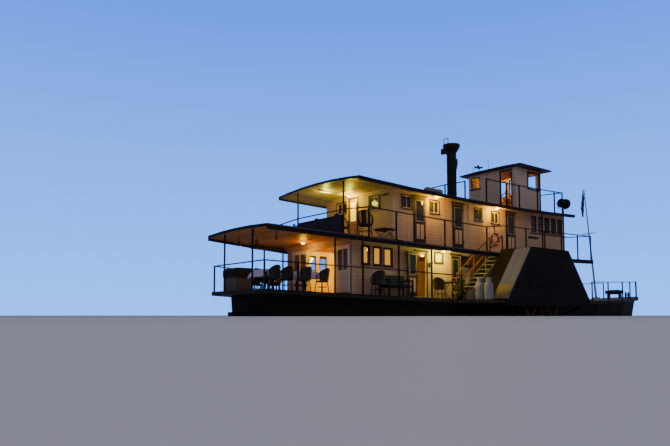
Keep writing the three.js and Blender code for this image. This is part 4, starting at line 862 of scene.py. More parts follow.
aft = cabin["lowerAft"]
for body, hingeY, along in (("saloon_door_starboard", -1.27, 1), ("saloon_door_port", 0.57, -1)):
    low = mainTop(aft) + 0.09
    place = onWall((aft, hingeY, 0), (0, along, 0), (-1, 0, 0))
    axis = Matrix.Translation((aft - 0.015, hingeY, 0))
    turn = Matrix.Rotation(math.radians(172) * along, 4, "Z")
    bm = bmesh.new()
    addLeafDressing(bm, axis @ turn @ axis.inverted() @ place, 0.924, low, 2.64)
    makeObject(bm, f"{body}_panels", ("whiteDoor", "whiteDoor", "glass", "brass"), body)
print("doors: done")


# Tub chairs: a woven shell round three sides of a turned seat, with a bent rim; the place's x points forward
chair = {"deep": 0.205, "half": 0.262, "seat": 0.44, "arm": 0.63, "back": 0.88, "tube": 0.017, "woven": 64,
         "splat": 20, "reach": 104}


def addChair(bm, place, grow=1.0, fan=False):
    place = place @ Matrix.Scale(grow, 4)
    tube, seat = chair["tube"] * grow, chair["seat"]

    def rod(points, width=tube, closed=False):
        addTube(bm, [place @ Vector(point) for point in points], width, 0, 7, closed)

    def shell(turn, z, thick=0.0):
        high = (z - seat) / (chair["back"] - seat)
        lean = 0.075 * high * max(0.0, math.cos(turn)) ** 2
        grown = 1 + 0.08 * high
        return Vector((-0.02 - (chair["deep"] * grown + thick) * math.cos(turn) - lean,
                       (chair["half"] * grown + thick) * math.sin(turn), z))

    def rimHeight(turn):  # an arch seen from behind, which runs out into the arms
        across = min(1.0, abs(math.sin(turn)) / 0.97) if abs(turn) < 1.33 else 1.0
        return chair["arm"] + (chair["back"] - chair["arm"]) * (1 - across ** 2.4) ** 0.62

    limit, woven = math.radians(chair["reach"]), math.radians(chair["splat" if fan else "woven"])
    turns = [woven * (k / 13 - 1) for k in range(27)]
    rings = [[place @ shell(t, seat - 0.03), place @ shell(t, seat - 0.03, 0.012)]
             + [place @ shell(t, seat + (rimHeight(t) - seat) * part, 0.012) for part in (0.35, 0.7, 1.0)]
             + [place @ shell(t, seat + (rimHeight(t) - seat) * part) for part in (1.0, 0.7, 0.35)] for t in turns]
    addLoft(bm, rings, 1)
    rim = [shell(t, rimHeight(t) + 0.006, 0.006) for t in (limit * (k / 18 - 1) for k in range(37))]
    for t in (1.33, 1.56) + ((0.48, 0.64, 0.80, 0.96, 1.12) if fan else ()):
        for turn in (-t, t):
            rod([shell(turn, seat - 0.01), shell(turn, rimHeight(turn))], tube * 0.6)
    ends = [[Vector((0.075, side * 0.235, 0.60)), Vector((0.085, side * 0.20, seat))] for side in (-1, 1)]
    rod(ends[0][::-1] + rim + ends[1])
    for x, y, footX, footY in ((0.13, 0.15, 0.185, 0.185), (-0.15, 0.14, -0.215, 0.175)):
        for side in (-1, 1):
            rod([(x, side * y, seat - 0.02), ((x + footX) / 2, side * (y + footY) / 2, 0.23), (footX, side * footY, 0)])
    rod([(-0.01 + 0.175 * math.cos(a), 0.17 * math.sin(a), 0.215) for a in (math.pi * k / 8 for k in range(16))],
        tube * 0.7, True)
    r = chair["deep"]
    addTurned(bm, [(0.01, seat - 0.05), (r * 0.95, seat - 0.05), (r * 1.06, seat - 0.03), (r * 1.06, seat - 0.008),
                   (r, seat + 0.006), (r * 0.5, seat + 0.018), (0.01, seat + 0.02)],
              place @ Matrix.Translation((-0.01, 0, 0)) @ Matrix.Diagonal((1.0, 1.12, 1.0, 1.0)), 1, 24)


diners = [(-12.81, 1.25, 0), (-11.80, 1.25, 180), (-12.3, 1.75, -90), (-12.97, -0.05, 0), (-12.45, 0.50, -90),
          (-13.66, -1.45, 96), (-13.11, -1.47, 88), (-12.62, -1.87, 92), (-11.87, -1.93, 98), (-13.45, -0.4, -90)]
for i, (x, y, turn) in enumerate(diners):
    bm = bmesh.new()
    addChair(bm, at(x, y, mainTop(x) + 0.002) @ Matrix.Rotation(math.radians(turn + rng.uniform(-5, 5)), 4, "Z"), 0.96)
    makeObject(bm, f"dining_chair_{i + 1}", ("gloss", "wicker"), smooth=True)

lounge = [("veranda_chair_1", -9.95, -2.15, 35, 1.12, upperTop), ("veranda_chair_2", -9.95, -0.75, 10, 1.08, upperTop),
          ("veranda_chair_3", -9.90, 0.55, -10, 1.08, upperTop), ("veranda_chair_4", -9.90, 2.10, -30, 1.12, upperTop),
          ("deck_armchair", -9.75, -2.58, 70, 1.02, mainTop), ("deck_chair_1", -6.28, -2.55, 20, 0.96, mainTop),
          ("deck_chair_2", -5.22, -2.60, 170, 0.96, mainTop)]
for name, x, y, turn, grow, topAt in lounge:
    bm = bmesh.new()
    addChair(bm, at(x, y, topAt(x, y) + 0.004) @ Matrix.Rotation(math.radians(turn), 4, "Z"), grow,
             name.startswith("veranda"))
    makeObject(bm, name, ("gloss", "wicker"), smooth=True)

# Low tables: a bevelled top on crossed legs
tables = [("veranda_table", -9.10, -2.30, 0.42, 0.36, 0.30, upperTop),
          ("side_table", -5.75, -2.60, 0.72, 0.30, 0.28, mainTop)]
for name, x, y, high, halfX, halfY, topAt in tables:
    bm = bmesh.new()
    place = at(x, y, topAt(x, y) + 0.003)
    addBox(bm, (-halfX, halfX), (-halfY, halfY), (high - 0.028, high), 0, place)
    for side in (-1, 1):
        rail = side * (halfY - 0.05)
        addBox(bm, (-halfX + 0.06, halfX - 0.06), (rail - 0.012, rail + 0.012), (high - 0.075, high - 0.0285), 1, place)
        for lean in (-1, 1):
            shift = side * 0.028 * lean
            addTube(bm, [place @ Vector((lean * (halfX - 0.03), rail + shift, 0.0)),
                         place @ Vector((-lean * (halfX - 0.08), rail + shift, high - 0.04))], 0.013, 1, 6)
    makeObject(bm, name, ("darkWood", "gloss"), bevel=0.003)


# Cloth: pointAt gives the place of each point of the flat cut, and the UV map keeps the cut in metres
def makeSheet(name, pointAt, size, counts, finish):
    bm = bmesh.new()
    flat = bm.loops.layers.uv.new("flat")
    cut = [[(size[0] * i / counts[0], size[1] * j / counts[1]) for j in range(counts[1] + 1)]
           for i in range(counts[0] + 1)]
    grid = [[bm.verts.new(pointAt(*spot)) for spot in row] for row in cut]
    for i in range(counts[0]):
        for j in range(counts[1]):
            corners = ((i, j), (i + 1, j), (i + 1, j + 1), (i, j + 1))
            face = bm.faces.new([grid[p][q] for p, q in corners])
            for loop, (p, q) in zip(face.loops, corners):
                loop[flat].uv = cut[p][q]
    return makeObject(bm, name, (finish,), smooth=True)


# Tablecloths: the cut lies on the top, and past its edge hangs in folds that deepen at the corners
cloth = {"drop": 0.26, "half": 0.4, "flare": 0.10, "fold": 0.035}
for number in range(1, 5):
    low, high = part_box(f"dining_table_{number}")
    middle = [(a + b) / 2 for a, b in zip(low, high)]
    width = 2 * (cloth["half"] + cloth["drop"])
    phase = rng.uniform(0, 6)

    def onTable(s, t, middle=middle, top=high[2], width=width, phase=phase):
        u, v = s - width / 2, t - width / 2
        half = cloth["half"] + 0.004
        edgeU, edgeV = max(-half, min(half, u)), max(-half, min(half, v))
        away = Vector((u - edgeU, v - edgeV))
        past = away.length
        if past < 1e-6:
            return (middle[0] + u, middle[1] + v, top + 0.003)
        away /= past
        corner = 2 * abs(away.x * away.y)
        ripple = math.sin(9 * (edgeU - edgeV) + phase) * 0.4 + corner * math.sin(11 * math.atan2(away.y, away.x))
        out = 0.008 + past * cloth["flare"] + cloth["fold"] * ripple * min(1, past / 0.2) * (1 if corner else 0.35)
        out = max(out, 0.006) + corner * past * 0.35
        sink = math.sqrt(max(past ** 2 - out ** 2, 0)) if past > 0.012 else past * 0.5
        return (middle[0] + edgeU + away.x * out, middle[1] + edgeV + away.y * out, top + 0.003 - sink)

    sheet = makeSheet(f"tablecloth_{number}", onTable, (width, width), (66, 66), "tableCloth")

# Life ring on the railing, on a small hook; the bands go right round the tube
ring = {"x": -3.22, "y": 3.02, "z": 3.31, "radius": 0.255, "tube": 0.055}
for sideName, side in sides:
    bm = bmesh.new()
    centre = (ring["x"], side * ring["y"], ring["z"])
    hoop = arc(centre, ring["radius"], 0, 2 * math.pi, 49)[:-1]
    for face in addTube(bm, hoop, ring["tube"], 0, 14, True):
        across = face.calc_center_median() - Vector(centre)
        turn = (math.degrees(math.atan2(across.z, across.x)) - 45) % 90
        if turn < 5 or turn > 85:
            face.material_index = 1
    for a in range(4):  # grab line, standing off between the bands
        angle = math.radians(45 + 90 * a)
        line = arc(centre, ring["radius"] + ring["tube"] + 0.012, angle + 0.1, angle + math.pi / 2 - 0.1, 9)
        addTube(bm, line, 0.006, 1, 6)
    addBox(bm, (ring["x"] - 0.02, ring["x"] + 0.02), offCentre(side, 2.93, 3.0), (3.84, 3.87), 2)
    addBox(bm, (ring["x"] - 0.02, ring["x"] + 0.02), offCentre(side, 2.985, 3.0), (3.60, 3.87), 2)
    makeObject(bm, f"life_ring_{sideName}", ("ringRed", "ringWhite", "gloss"), smooth=True)


# Pleats: a curve of even wave on the ground, walked by its own length
def pleats(total, span, deep, waves):
    run = [Vector((0, 0))]
    for i in range(1, 40 * waves + 1):
        part = i / (40 * waves)
        run.append(Vector((span * part, deep * math.sin(2 * math.pi * waves * part))))
    walked = [0.0]
    for a, b in zip(run, run[1:]):
        walked.append(walked[-1] + (b - a).length)

    def place(length):
        want = length / total * walked[-1]
        i = min(max(1, next((k for k, w in enumerate(walked) if w >= want), len(walked) - 1)), len(walked) - 1)
        part = (want - walked[i - 1]) / (walked[i] - walked[i - 1])
        return run[i - 1] + (run[i] - run[i - 1]) * part

    return place, walked[-1] / total


# Flag: hangs limp from its upper corner, so its pleats run slantwise across the cut
flag = {"fly": 1.5, "hoist": 0.9, "slant": 35, "top": 7.64, "x": 9.60, "span": 0.30, "deep": 0.052, "waves": 6}
slant = math.radians(flag["slant"])
reach = flag["fly"] * math.sin(slant) + flag["hoist"] * math.cos(slant)
pleated, flagShare = pleats(reach, flag["span"], flag["deep"], flag["waves"])


def limp(s, t):
    along = s * math.cos(slant) + t * math.sin(slant)
    ground = pleated(flag["fly"] * math.sin(slant) - s * math.sin(slant) + t * math.cos(slant))
    tight = 0.55 + 0.45 * min(1, along / 0.9)
    return (flag["x"] - (flag["span"] - ground.x) * tight, ground.y * tight, flag["top"] - along)


sheet = makeSheet("flag", limp, (flag["fly"], flag["hoist"]), (110, 66), "flag")
print("flag: length of the pleats against the cut", round(flagShare, 2))


# Paddle boxes: pale planks with a trim on both slopes, black boards and slats on the outer face
box = {"aft": -4.6, "forward": 1.65, "topAft": -2.9, "topForward": -0.1, "low": 0.64, "high": 2.9, "pale": 3.84,
       "proud": 0.022, "split": 1.30}


def addSlopePanel(bm, ends, low, high, y, proud, paint):
    foot, head = Vector((ends[0], 0, box["low"])), Vector((ends[1], 0, box["high"]))
    outward = (head - foot).cross(Vector((0, 1, 0))).normalized()
    outward *= -1 if outward.z < 0 else 1
    rings = []
    for z in (low, high):
        point = foot + (head - foot) * ((z - box["low"]) / (box["high"] - box["low"]))
        rings.append([point + outward * lift + Vector((0, across, 0))
                      for lift, across in ((clear, y[0]), (proud, y[0]), (proud, y[1]), (clear, y[1]))])
    addLoft(bm, rings, paint)


for sideName, side in sides:
    bm = bmesh.new()
    for ends in ((box["aft"], box["topAft"]), (box["forward"], box["topForward"])):
        pale = offCentre(side, box["pale"], 4.56)
        addSlopePanel(bm, ends, box["split"] + 0.004, 2.86, pale, box["proud"], 0)
        addSlopePanel(bm, ends, 0.70, box["split"], pale, box["proud"], 1)
        addSlopePanel(bm, ends, 0.68, 2.88, offCentre(side, 4.562, 4.60), 0.045, 0)
        edge = offCentre(side, box["pale"] - 0.06, box["pale"] - 0.002)
        addSlopePanel(bm, ends, 0.68, 2.88, edge, 0.035, 2)
    makeObject(bm, f"paddle_box_slopes_{sideName}", ("slopeBoards", "ochreBoards", "gloss"),
               bevel=0.004)


def edgeRun(plan, topAt, step=0.5):
    count = int((plan[-1][0] - plan[0][0]) / step)
    xs = [plan[0][0] + (plan[-1][0] - plan[0][0]) * i / count for i in range(count + 1)]
    return [(x, planAt(plan, x), topAt(x, planAt(plan, x))) for x in xs]


def addBead(bm, points, side, low, high, proud, paint=0):
    rings = [[(x, side * (y + 0.0006), z + low), (x, side * (y + proud), z + low + 0.006),
              (x, side * (y + proud), z + high - 0.006), (x, side * (y + 0.0006), z + high)] for x, y, z in points]
    addLoft(bm, rings, paint)


# Deck edges: a lilac and a black bead on the upper deck, a dark red one on the roof and a black one on the main deck
bm = bmesh.new()
for side in (-1, 1):
    addBead(bm, edgeRun(upperPlan, upperTop), side, -0.045, -0.008, 0.010, 0)
    addBead(bm, edgeRun(upperPlan, upperTop), side, -0.198, -0.165, 0.008, 1)
    addBead(bm, edgeRun(roofPlan, roofTop), side, -0.04, -0.004, 0.010, 2)
    addBead(bm, edgeRun(mainPlan[:3], mainTop), side, -0.05, -0.01, 0.012, 1)
makeObject(bm, "deck_edge_beads", ("lilac", "gloss", "redTrim"))


# Rolled cloth along x, drawn in at its ties; waves are (share, turns, twist) and pointAt places each point of a ring
def makeRoll(name, roll, finish, pointAt):
    bm = bmesh.new()
    rings = []
    for i in range(roll["count"] + 1):
        part = i / roll["count"]
        x = roll["x"][0] + (roll["x"][1] - roll["x"][0]) * part
        ends = min(1, math.sqrt(max(0.0, 1 - abs(2 * part - 1) ** roll["blunt"])) + roll["end"])
        tied = 1 - roll["tight"] * sum(math.exp(-((part - spot) / roll["narrow"]) ** 2) for spot in roll["ties"])
        loop = []
        for j in range(20):
            a = 2 * math.pi * j / 20
            wave = 1 + sum(share * math.sin(turns * a + twist * part) for share, turns, twist in roll["waves"])
            r = roll["radius"] * ends * tied * wave
            loop.append(pointAt(x, r * math.cos(a), r * math.sin(a)))
        rings.append(loop)
    addLoft(bm, rings)
    return makeObject(bm, name, (finish,), smooth=True)


# Rolled canvas on the roof's edge, tied twice
bundle = {"x": (-6.95, -5.95), "y": -2.42, "radius": 0.105, "count": 34, "blunt": 10, "end": 0.12, "ties": (0.25, 0.75),
          "tight": 0.22, "narrow": 0.02, "waves": ((0.07, 3, 9), (0.05, 7, -20))}


def onRoof(x, u, v):
    return (x, bundle["y"] + 1.15 * u, max(-0.092, 0.9 * v) + roofTop(x, bundle["y"]) + 0.098)


piece = makeRoll("rolled_canvas", bundle, "cushion", onRoof)

# Lamps: bulkhead lamps under the eaves and ceilings, each a base, a rim and a glass
lamp = {"radius": 0.085, "deep": 0.10, "under": {upperTop: 0.1135, roofTop: 0.0935}, "wheelhouse": 7.4285}
lampPlaces = []


def addLamp(bm, place):
    r, d = lamp["radius"], lamp["deep"]
    addTurned(bm, [(0.004, 0.0), (r * 1.1, 0.0), (r * 1.15, -0.012), (r * 1.1, -0.026), (0.004, -0.026)], place, 0, 20)
    addTurned(bm, [(0.004, -0.0262), (r * 0.92, -0.0262), (r, -0.04), (r * 0.94, -d * 0.7), (r * 0.6, -d * 0.95),
                   (0.01, -d)], place, 1, 20)


bm = bmesh.new()
lit = {"eave": (60, (1.0, 0.64, 0.01)), "side": (88, (0.90, 1.0, 0.12)), "saloon": (185, (1.0, 0.88, 0.02)),
       "deck": (18, (1.0, 0.50, 0.01)), "cabin": (24, (1.0, 0.60, 0.08)), "veranda": (46, (1.0, 0.84, 0.03)),
       "passage": (110, (1.0, 0.24, 0.01)), "wheelhouse": (44, (1.0, 0.42, 0.01)), "strip": (26, (1.0, 0.90, 0.10))}
spots = [(x, side * 2.36, roofTop, "eave") for x in (-6.24, -2.18) for side in (-1, 1)]
spots += [(-5.85, side * 2.36, upperTop, "side") for side in (-1, 1)]
spots += [(-11.1, 0.3, upperTop, "deck"), (-9.5, 0.0, upperTop, "saloon"), (-7.9, 0.0, upperTop, "saloon"),
          (-6.5, 0.0, upperTop, "passage"), (-4.6, 0.0, upperTop, "cabin"), (2.2, 0.0, upperTop, "cabin"),
          (-6.9, 0.0, roofTop, "cabin"), (-4.2, 0.0, roofTop, "cabin"), (-1.2, 0.0, roofTop, "cabin"),
          (-8.76, 0.26, roofTop, "veranda"), (1.8, 0.6, None, "wheelhouse")]
for x, y, overhead, kind in spots:
    z = overhead(x, y) - lamp["under"][overhead] if overhead else lamp["wheelhouse"]
    addLamp(bm, at(x, y, z))
    out = {"eave": 1.05, "side": 1.10}.get(kind, 1.0)  # the light of a wall lamp starts further from the wall
    lampPlaces.append(((x, y * out, z - 0.18), *lit[kind]))
lampPlaces.append(((-9.85, 0.46, roofTop(-9.85, 0.46) - 0.30), *lit["strip"]))
makeObject(bm, "deck_lamps", ("gloss", "lampWarm"), smooth=True)

bm = bmesh.new()
for x, y in ((-13.38, 1.36), (-13.01, 0.67), (-13.2, -1.0)):  # small unlit lanterns on stems
    z = upperTop(x, y) - 0.113
    addTurned(bm, [(0.004, 0.0), (0.045, 0.0), (0.045, -0.012), (0.008, -0.02), (0.008, -0.11), (0.06, -0.13),
                   (0.066, -0.145), (0.066, -0.15), (0.004, -0.15)], at(x, y, z), 0, 16)
    addTurned(bm, [(0.004, -0.1502), (0.055, -0.1502), (0.048, -0.25), (0.004, -0.25)], at(x, y, z), 1, 16)
    addTurned(bm, [(0.004, -0.2502), (0.056, -0.2502), (0.056, -0.262), (0.02, -0.28), (0.004, -0.28)],
              at(x, y, z), 0, 16)
makeObject(bm, "hanging_lanterns", ("gloss", "glass"), smooth=True)

bm = bmesh.new()
z = roofTop(-9.9, 0.48) - 0.098  # strip light under the veranda's ceiling
addBox(bm, (-10.2, -9.5), (0.40, 0.52), (z - 0.03, z), 0)
addBox(bm, (-10.17, -9.53), (0.415, 0.505), (z - 0.062, z - 0.0302), 1)
makeObject(bm, "veranda_light", ("whiteDoor", "lampWhite"), bevel=0.004)

# Wall fittings: header boards over the side doors, corner boards, a pilaster, a framed board, a switch box, a vent
bm = bmesh.new()
for side in (-1, 1):

    def face(low, high, side=side):
        return offCentre(side, cabin["half"] + low, cabin["half"] + high)

    for _, _, _, head, _, _, (x0, x1), topAt in sideDoors:
        z = head + sheer(x1)
        addBox(bm, (x0 - 0.09, x1 + 0.09), face(clear, 0.02), (z + 0.016, z + 0.095), 0)
        free = (x1 + 0.002, x1 + 0.075) if topAt is mainTop else (x0 - 0.075, x0 - 0.002)
        addBox(bm, free, face(clear, 0.014), (max(topAt(x0, 2.1), topAt(x1, 2.1)) + 0.003, z + 0.0155), 0)
    for x, paint, wide in ((3.70, 0, 0.10), (-8.50, 1, 0.09), (-3.84, 1, 0.13)):
        z = upperTop(x, 2.1) + 0.012
        addBox(bm, (x, x + wide), face(clear, 0.022), (z, roofTop(x, 2.1) - 0.105), paint)
    for x, paint in ((3.70, 0), (-10.60, 1)):
        z = mainTop(x) + 0.012
        addBox(bm, (x, x + 0.10), face(clear, 0.022), (z, upperTop(x, 2.1) - 0.13), paint)
    for z in (3.785, 3.805, 3.825, 3.845):  # vent: four blades in a frame
        addBox(bm, (0.64, 1.37), face(0.003, 0.020), (z, z + 0.012), 0)
    addBox(bm, (0.62, 1.39), face(0.0004, 0.003), (3.775, 3.87), 0)
    for x in ((0.605, 0.64), (1.37, 1.405)):
        addBox(bm, x, face(clear, 0.024), (3.765, 3.88), 0)
    x0, x1, z0, z1 = -6.12, -5.57, 2.17, 2.68  # framed board
    addFrame(bm, (x0, x1), face(clear, 0.03), (z0, z1), 0.045, 4, gap=0.0002)
    addBox(bm, (x0 + 0.0455, x1 - 0.0455), face(clear, 0.008), (z0 + 0.0455, z1 - 0.0455), 2)
    addBox(bm, (x0 + 0.11, x1 - 0.11), face(0.0085, 0.011), (z0 + 0.11, z1 - 0.11), 3)
    addBox(bm, (-6.46, -6.27), face(clear, 0.05), (2.03, 2.20), 0)
    addBox(bm, (-6.43, -6.30), face(0.0505, 0.056), (2.06, 2.17), 2)
finishes = ("brown", "creamTrim", "litPaper", "picture", "frameTrim")
makeObject(bm, "wall_fittings", finishes, bevel=0.002)

# Door in the upper cabin's aft wall: a frame and a boarded panel, fixed shut
bm = bmesh.new()
frameX, panelX, beadX = (-8.532, -8.5005), (-8.518, -8.5005), (-8.526, -8.5185)
low, high, y0, y1 = upperTop(-8.5, 0.4) + 0.02, 4.94, -0.05, 0.56
for y in ((y0, y0 + 0.06), (y1 - 0.06, y1)):
    addBox(bm, frameX, y, (low, high), 0)
addBox(bm, frameX, (y0, y1), (high + 0.0003, high + 0.08), 0)
addBox(bm, panelX, (y0 + 0.0605, y1 - 0.0605), (low + 0.01, high - 0.002), 1)
for z0, z1 in ((low + 0.14, low + 0.85), (low + 0.98, high - 0.12)):
    for y in ((y0 + 0.12, y0 + 0.135), (y1 - 0.135, y1 - 0.12)):
        addBox(bm, beadX, y, (z0, z1), 0)
    for z in ((z0, z0 + 0.015), (z1 - 0.015, z1)):
        addBox(bm, beadX, (y0 + 0.1355, y1 - 0.1355), z, 0)
addTurned(bm, [(0.004, 0.0), (0.024, 0.0), (0.01, 0.01), (0.01, 0.03), (0.024, 0.04), (0.02, 0.055), (0.004, 0.06)],
          at(-8.519, y1 - 0.095, low + 0.93, (-1, 0, 0)), 2, 14)
# painted light: the upper pane glows by its own emission, in place of a lit room behind it
addBox(bm, (-8.5215, -8.5185), (y0 + 0.1355, y1 - 0.1355), (low + 0.995, high - 0.1355), 3)
addBox(bm, (-8.52, -8.5005), (-1.87, -1.53), (4.80, 4.90), 0)
makeObject(bm, "aft_cabin_wall_door", ("brown", "varnish", "brass", "litPane"), bevel=0.002)

# Ceiling battens: one item a bay, because the sheer is straight from one knot to the next
batten = {"wide": 0.03, "deep": 0.010, "pitch": 1.0}


def ceilingBattens(name, bays, plan, crown, half, under, curve, finish):
    meshes = []
    for x0, x1 in bays:
        count = int(round((x1 - x0) / batten["pitch"]))
        step = (x1 - x0) / count
        reach = min(planAt(plan, x0), planAt(plan, x1)) - 0.075
        inner = [y for y in (-2.0, -1.0, 0.0, 1.0, 2.0) if abs(y) < reach - 0.05]
        stations = [round(y, 4) for y in (-reach, *inner, reach)]
        itemBm = bmesh.new()
        rings = []
        for y in stations:
            z = crown * (1 - (y / half) ** 2)
            rings.append([(-batten["wide"] / 2, y, z - 0.001), (-batten["wide"] / 2, y, z - batten["deep"]),
                          (batten["wide"] / 2, y, z - batten["deep"]), (batten["wide"] / 2, y, z - 0.001)])
        addLoft(itemBm, rings)
        start = Vector((x0 + step / 2, 0, under + sheer(x0 + step / 2, curve)))
        rise = (sheer(x1 - 0.001, curve) - sheer(x0, curve)) / (x1 - 0.001 - x0) * step
        inputs = {"Count": count, "Start": start, "Step": Vector((step, 0, rise))}
        meshes.append(repeated(rowTree, itemBm, finish, inputs))
    gather(name, meshes)


ceilingBattens("main_ceiling_battens", ((-14.0, -12.0), (-12.0, -10.65)), upperPlan, 0.15, 3.04, 2.77 - 0.1115,
               hullSheer, "orangeBatten")
ceilingBattens("veranda_ceiling_battens", ((-10.0, -8.52),), roofPlan, 0.15, 2.68, 5.0 - 0.0915,
               roofSheer, "yellowBatten")

# Stair nosings: one strip a tread
stair = {"foot": -5.0, "head": -2.4, "inner": 2.22, "outer": 2.88, "treads": 10}
low, high = mainTop(stair["foot"]), upperTop(stair["head"], stair["inner"])
rise, run = (high - low) / (stair["treads"] + 1), (stair["head"] - stair["foot"]) / (stair["treads"] + 1)
width = (stair["inner"] + 0.015, stair["outer"] - 0.015)
boxes = [((-0.068, -0.03), width, (clear, 0.006)), ((-0.068, -0.0605), width, (-0.03, 0.0002))]
addRows("stair_nosings", "nosing", boxes, stair["treads"], (stair["foot"] + run, 0, low + rise),
        (run, 0, rise))

# Paddle box: slats low on the outer face
addRows("paddle_box_slats", "blackBoards", [((-3.9, 0.95), (4.581, 4.599), (0.0, 0.045))], 3,
        (0.0, 0.0, 0.76), (0.04, 0.0, 0.11))

# Funnel: bands with rivets, and a base ring on the roof
funnel = {"x": -2.48, "bands": (5.9, 7.0)}
bm = bmesh.new()
for z in funnel["bands"]:
    addTurned(bm, [(0.2305, z - 0.03), (0.237, z - 0.03), (0.237, z + 0.03), (0.2305, z + 0.03)],
              at(funnel["x"], 0, 0), 0, 36)
z = roofTop(funnel["x"], 0.3) + 0.004
addTurned(bm, [(0.2445, z), (0.36, z), (0.36, z + 0.02), (0.30, z + 0.028), (0.262, z + 0.11), (0.2445, z + 0.11)],
          at(funnel["x"], 0, 0), 0, 36)
makeObject(bm, "funnel_bands", ("funnel",), smooth=True)
meshes = []
for z in funnel["bands"]:
    itemBm = bmesh.new()
    addTurned(itemBm, [(0.0125, 0.0), (0.011, 0.005), (0.006, 0.009), (0.001, 0.010)], at(0.237, 0, 0, (1, 0, 0)), 0, 8)
    made = repeated(ringTree, itemBm, "funnel", {"Count": 24, "Radius": 0.0005})
    made.transform(Matrix.Translation((funnel["x"], 0, z)))
    meshes.append(made)
gather("funnel_rivets", meshes, smooth=True)

# Varnished panelling on the main cabin's walls behind the stairs
addRows("stair_wall_panelling", "varnishedBoards",
        [((-0.061, 0.061), (cabin["trim"], 2.112), (0.0, 2.0))], 12, (-3.77, 0, 0.70), (0.124, 0, 0.0008))

# Rolled side blind under the port edge of the dining deck's ceiling, held by three straps
blind = {"x": (-12.4, -10.68), "y": 2.20, "radius": 0.088, "count": 44, "blunt": 40, "end": 0.2,
         "ties": (0.12, 0.5, 0.88), "tight": 0.14, "narrow": 0.012, "waves": ((0.035, 2, 5), (0.02, 9, 0))}


def underDeck(x, u, v):
    return (x, blind["y"] + u, upperTop(x, blind["y"]) - 0.113 - blind["radius"] * 1.02 + v)


piece = makeRoll("rolled_side_blind", blind, "darkCanvas", underDeck)
bm = bmesh.new()
for spot in blind["ties"]:
    x = blind["x"][0] + (blind["x"][1] - blind["x"][0]) * spot
    high, r = upperTop(x, blind["y"]) - 0.1125, blind["radius"] * 0.86 + 0.004
    middle = high - blind["radius"] * 1.02
    angles = [math.pi * (1.15 * j / 16 + 0.925) for j in range(17)]
    strap = [(blind["y"] + r * math.cos(a), middle + r * math.sin(a)) for a in angles]
    strap = [(strap[0][0], high)] + strap + [(strap[-1][0], high)]
    outer = [(y + (0.004 if y > blind["y"] else -0.004), z - (0.004 if z < high else 0)) for y, z in strap]
    rings = [[(x - 0.015, y, z), (x + 0.015, y, z), (x + 0.015, y2, z2), (x - 0.015, y2, z2)]
             for (y, z), (y2, z2) in zip(strap, outer)]
    addLoft(bm, rings)
makeObject(bm, "blind_straps", ("gloss",))

# Searchlight: two-lobed drum in a yoke on its pedestal
search = {"x": 3.43, "y": -2.3, "axis": 5.762, "grip": 0.272}
x, y, z = search["x"], search["y"], search["axis"]
bm = bmesh.new()
addTurned(bm, [(0.006, -0.305), (0.10, -0.30), (0.18, -0.262), (0.228, -0.19), (0.238, -0.12), (0.215, -0.055),
               (0.165, -0.02), (0.165, 0.015), (0.225, 0.045), (0.246, 0.12), (0.248, 0.235), (0.262, 0.24),
               (0.262, 0.295), (0.243, 0.295), (0.238, 0.27), (0.006, 0.262)], at(x, y, z, (1, 0, 0)), 0, 32)
addTurned(bm, [(0.006, 0.264), (0.235, 0.272), (0.235, 0.280), (0.12, 0.292), (0.006, 0.297)],
          at(x, y, z, (1, 0, 0)), 1, 32)
foot = roofTop(x, y) - 0.004
addTurned(bm, [(0.006, 0), (0.13, 0), (0.13, 0.018), (0.06, 0.04), (0.045, 0.09), (0.042, z - foot - 0.33),
               (0.07, z - foot - 0.30), (0.006, z - foot - 0.30)], at(x, y, foot), 0, 20)
grip = search["grip"]
fork = [(x, y - grip, z + 0.03), (x, y - grip, z - 0.16), (x, y - grip * 0.72, z - 0.27), (x, y, z - 0.30),
        (x, y + grip * 0.72, z - 0.27), (x, y + grip, z - 0.16), (x, y + grip, z + 0.03)]
rings = [[(px - 0.03, py, pz), (px + 0.03, py, pz)] for px, py, pz in fork]
outer = []
for k, (px, py, pz) in enumerate(fork):
    away = Vector((0, py - y, pz - (z - 0.08))).normalized() * 0.014
    outer.append([(px + 0.03, py + away.y, pz + away.z), (px - 0.03, py + away.y, pz + away.z)])
addLoft(bm, [a + b for a, b in zip(rings, outer)])
for side in (-1, 1):
    addTurned(bm, [(0.006, -0.03), (0.045, -0.03), (0.045, 0.018), (0.03, 0.03), (0.006, 0.032)],
              at(x, y + side * (grip + 0.004), z, (0, side, 0)), 0, 16)
addTube(bm, [(x - 0.30, y, z + 0.02), (x - 0.36, y, z + 0.0), (x - 0.37, y, z - 0.10)], 0.012, 0, 8)
piece = makeObject(bm, "searchlight_drum", ("gloss", "glass"), smooth=True)
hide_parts("searchlight")

# On the wheelhouse roof: two whip aerials and a pair of horns; on the funnel: a whistle and its pipe
bm = bmesh.new()
for y, top, lean in ((1.17, 8.11, 0.0), (0.19, 8.29, 0.01)):
    addTurned(bm, [(0.004, 0), (0.04, 0), (0.04, 0.014), (0.018, 0.03), (0.012, 0.12), (0.006, top - 7.50),
                   (0.002, top - 7.49)], at(0.62, y, 7.50), 0, 10)
addTurned(bm, [(0.004, 0), (0.05, 0), (0.05, 0.014), (0.016, 0.03), (0.014, 0.26), (0.004, 0.27)], at(0.66, 0.80, 7.50),
          0, 12)
for y, grow in ((0.72, 1.0), (0.90, 0.8)):
    addTurned(bm, [(0.006, -0.14), (0.05, -0.13), (0.055, -0.07), (0.022, -0.05), (0.024, 0.08), (0.05, 0.16),
                   (0.085 * grow, 0.19), (0.085 * grow, 0.20), (0.045, 0.172), (0.012, 0.10), (0.002, 0.09)],
              at(0.66, y, 7.80, (-1, 0, 0)), 1, 18)
addTube(bm, [(0.66, 0.70, 7.765), (0.66, 0.92, 7.765)], 0.014, 0, 8)
makeObject(bm, "roof_aerials", ("gloss", "iron"), smooth=True)
bm = bmesh.new()
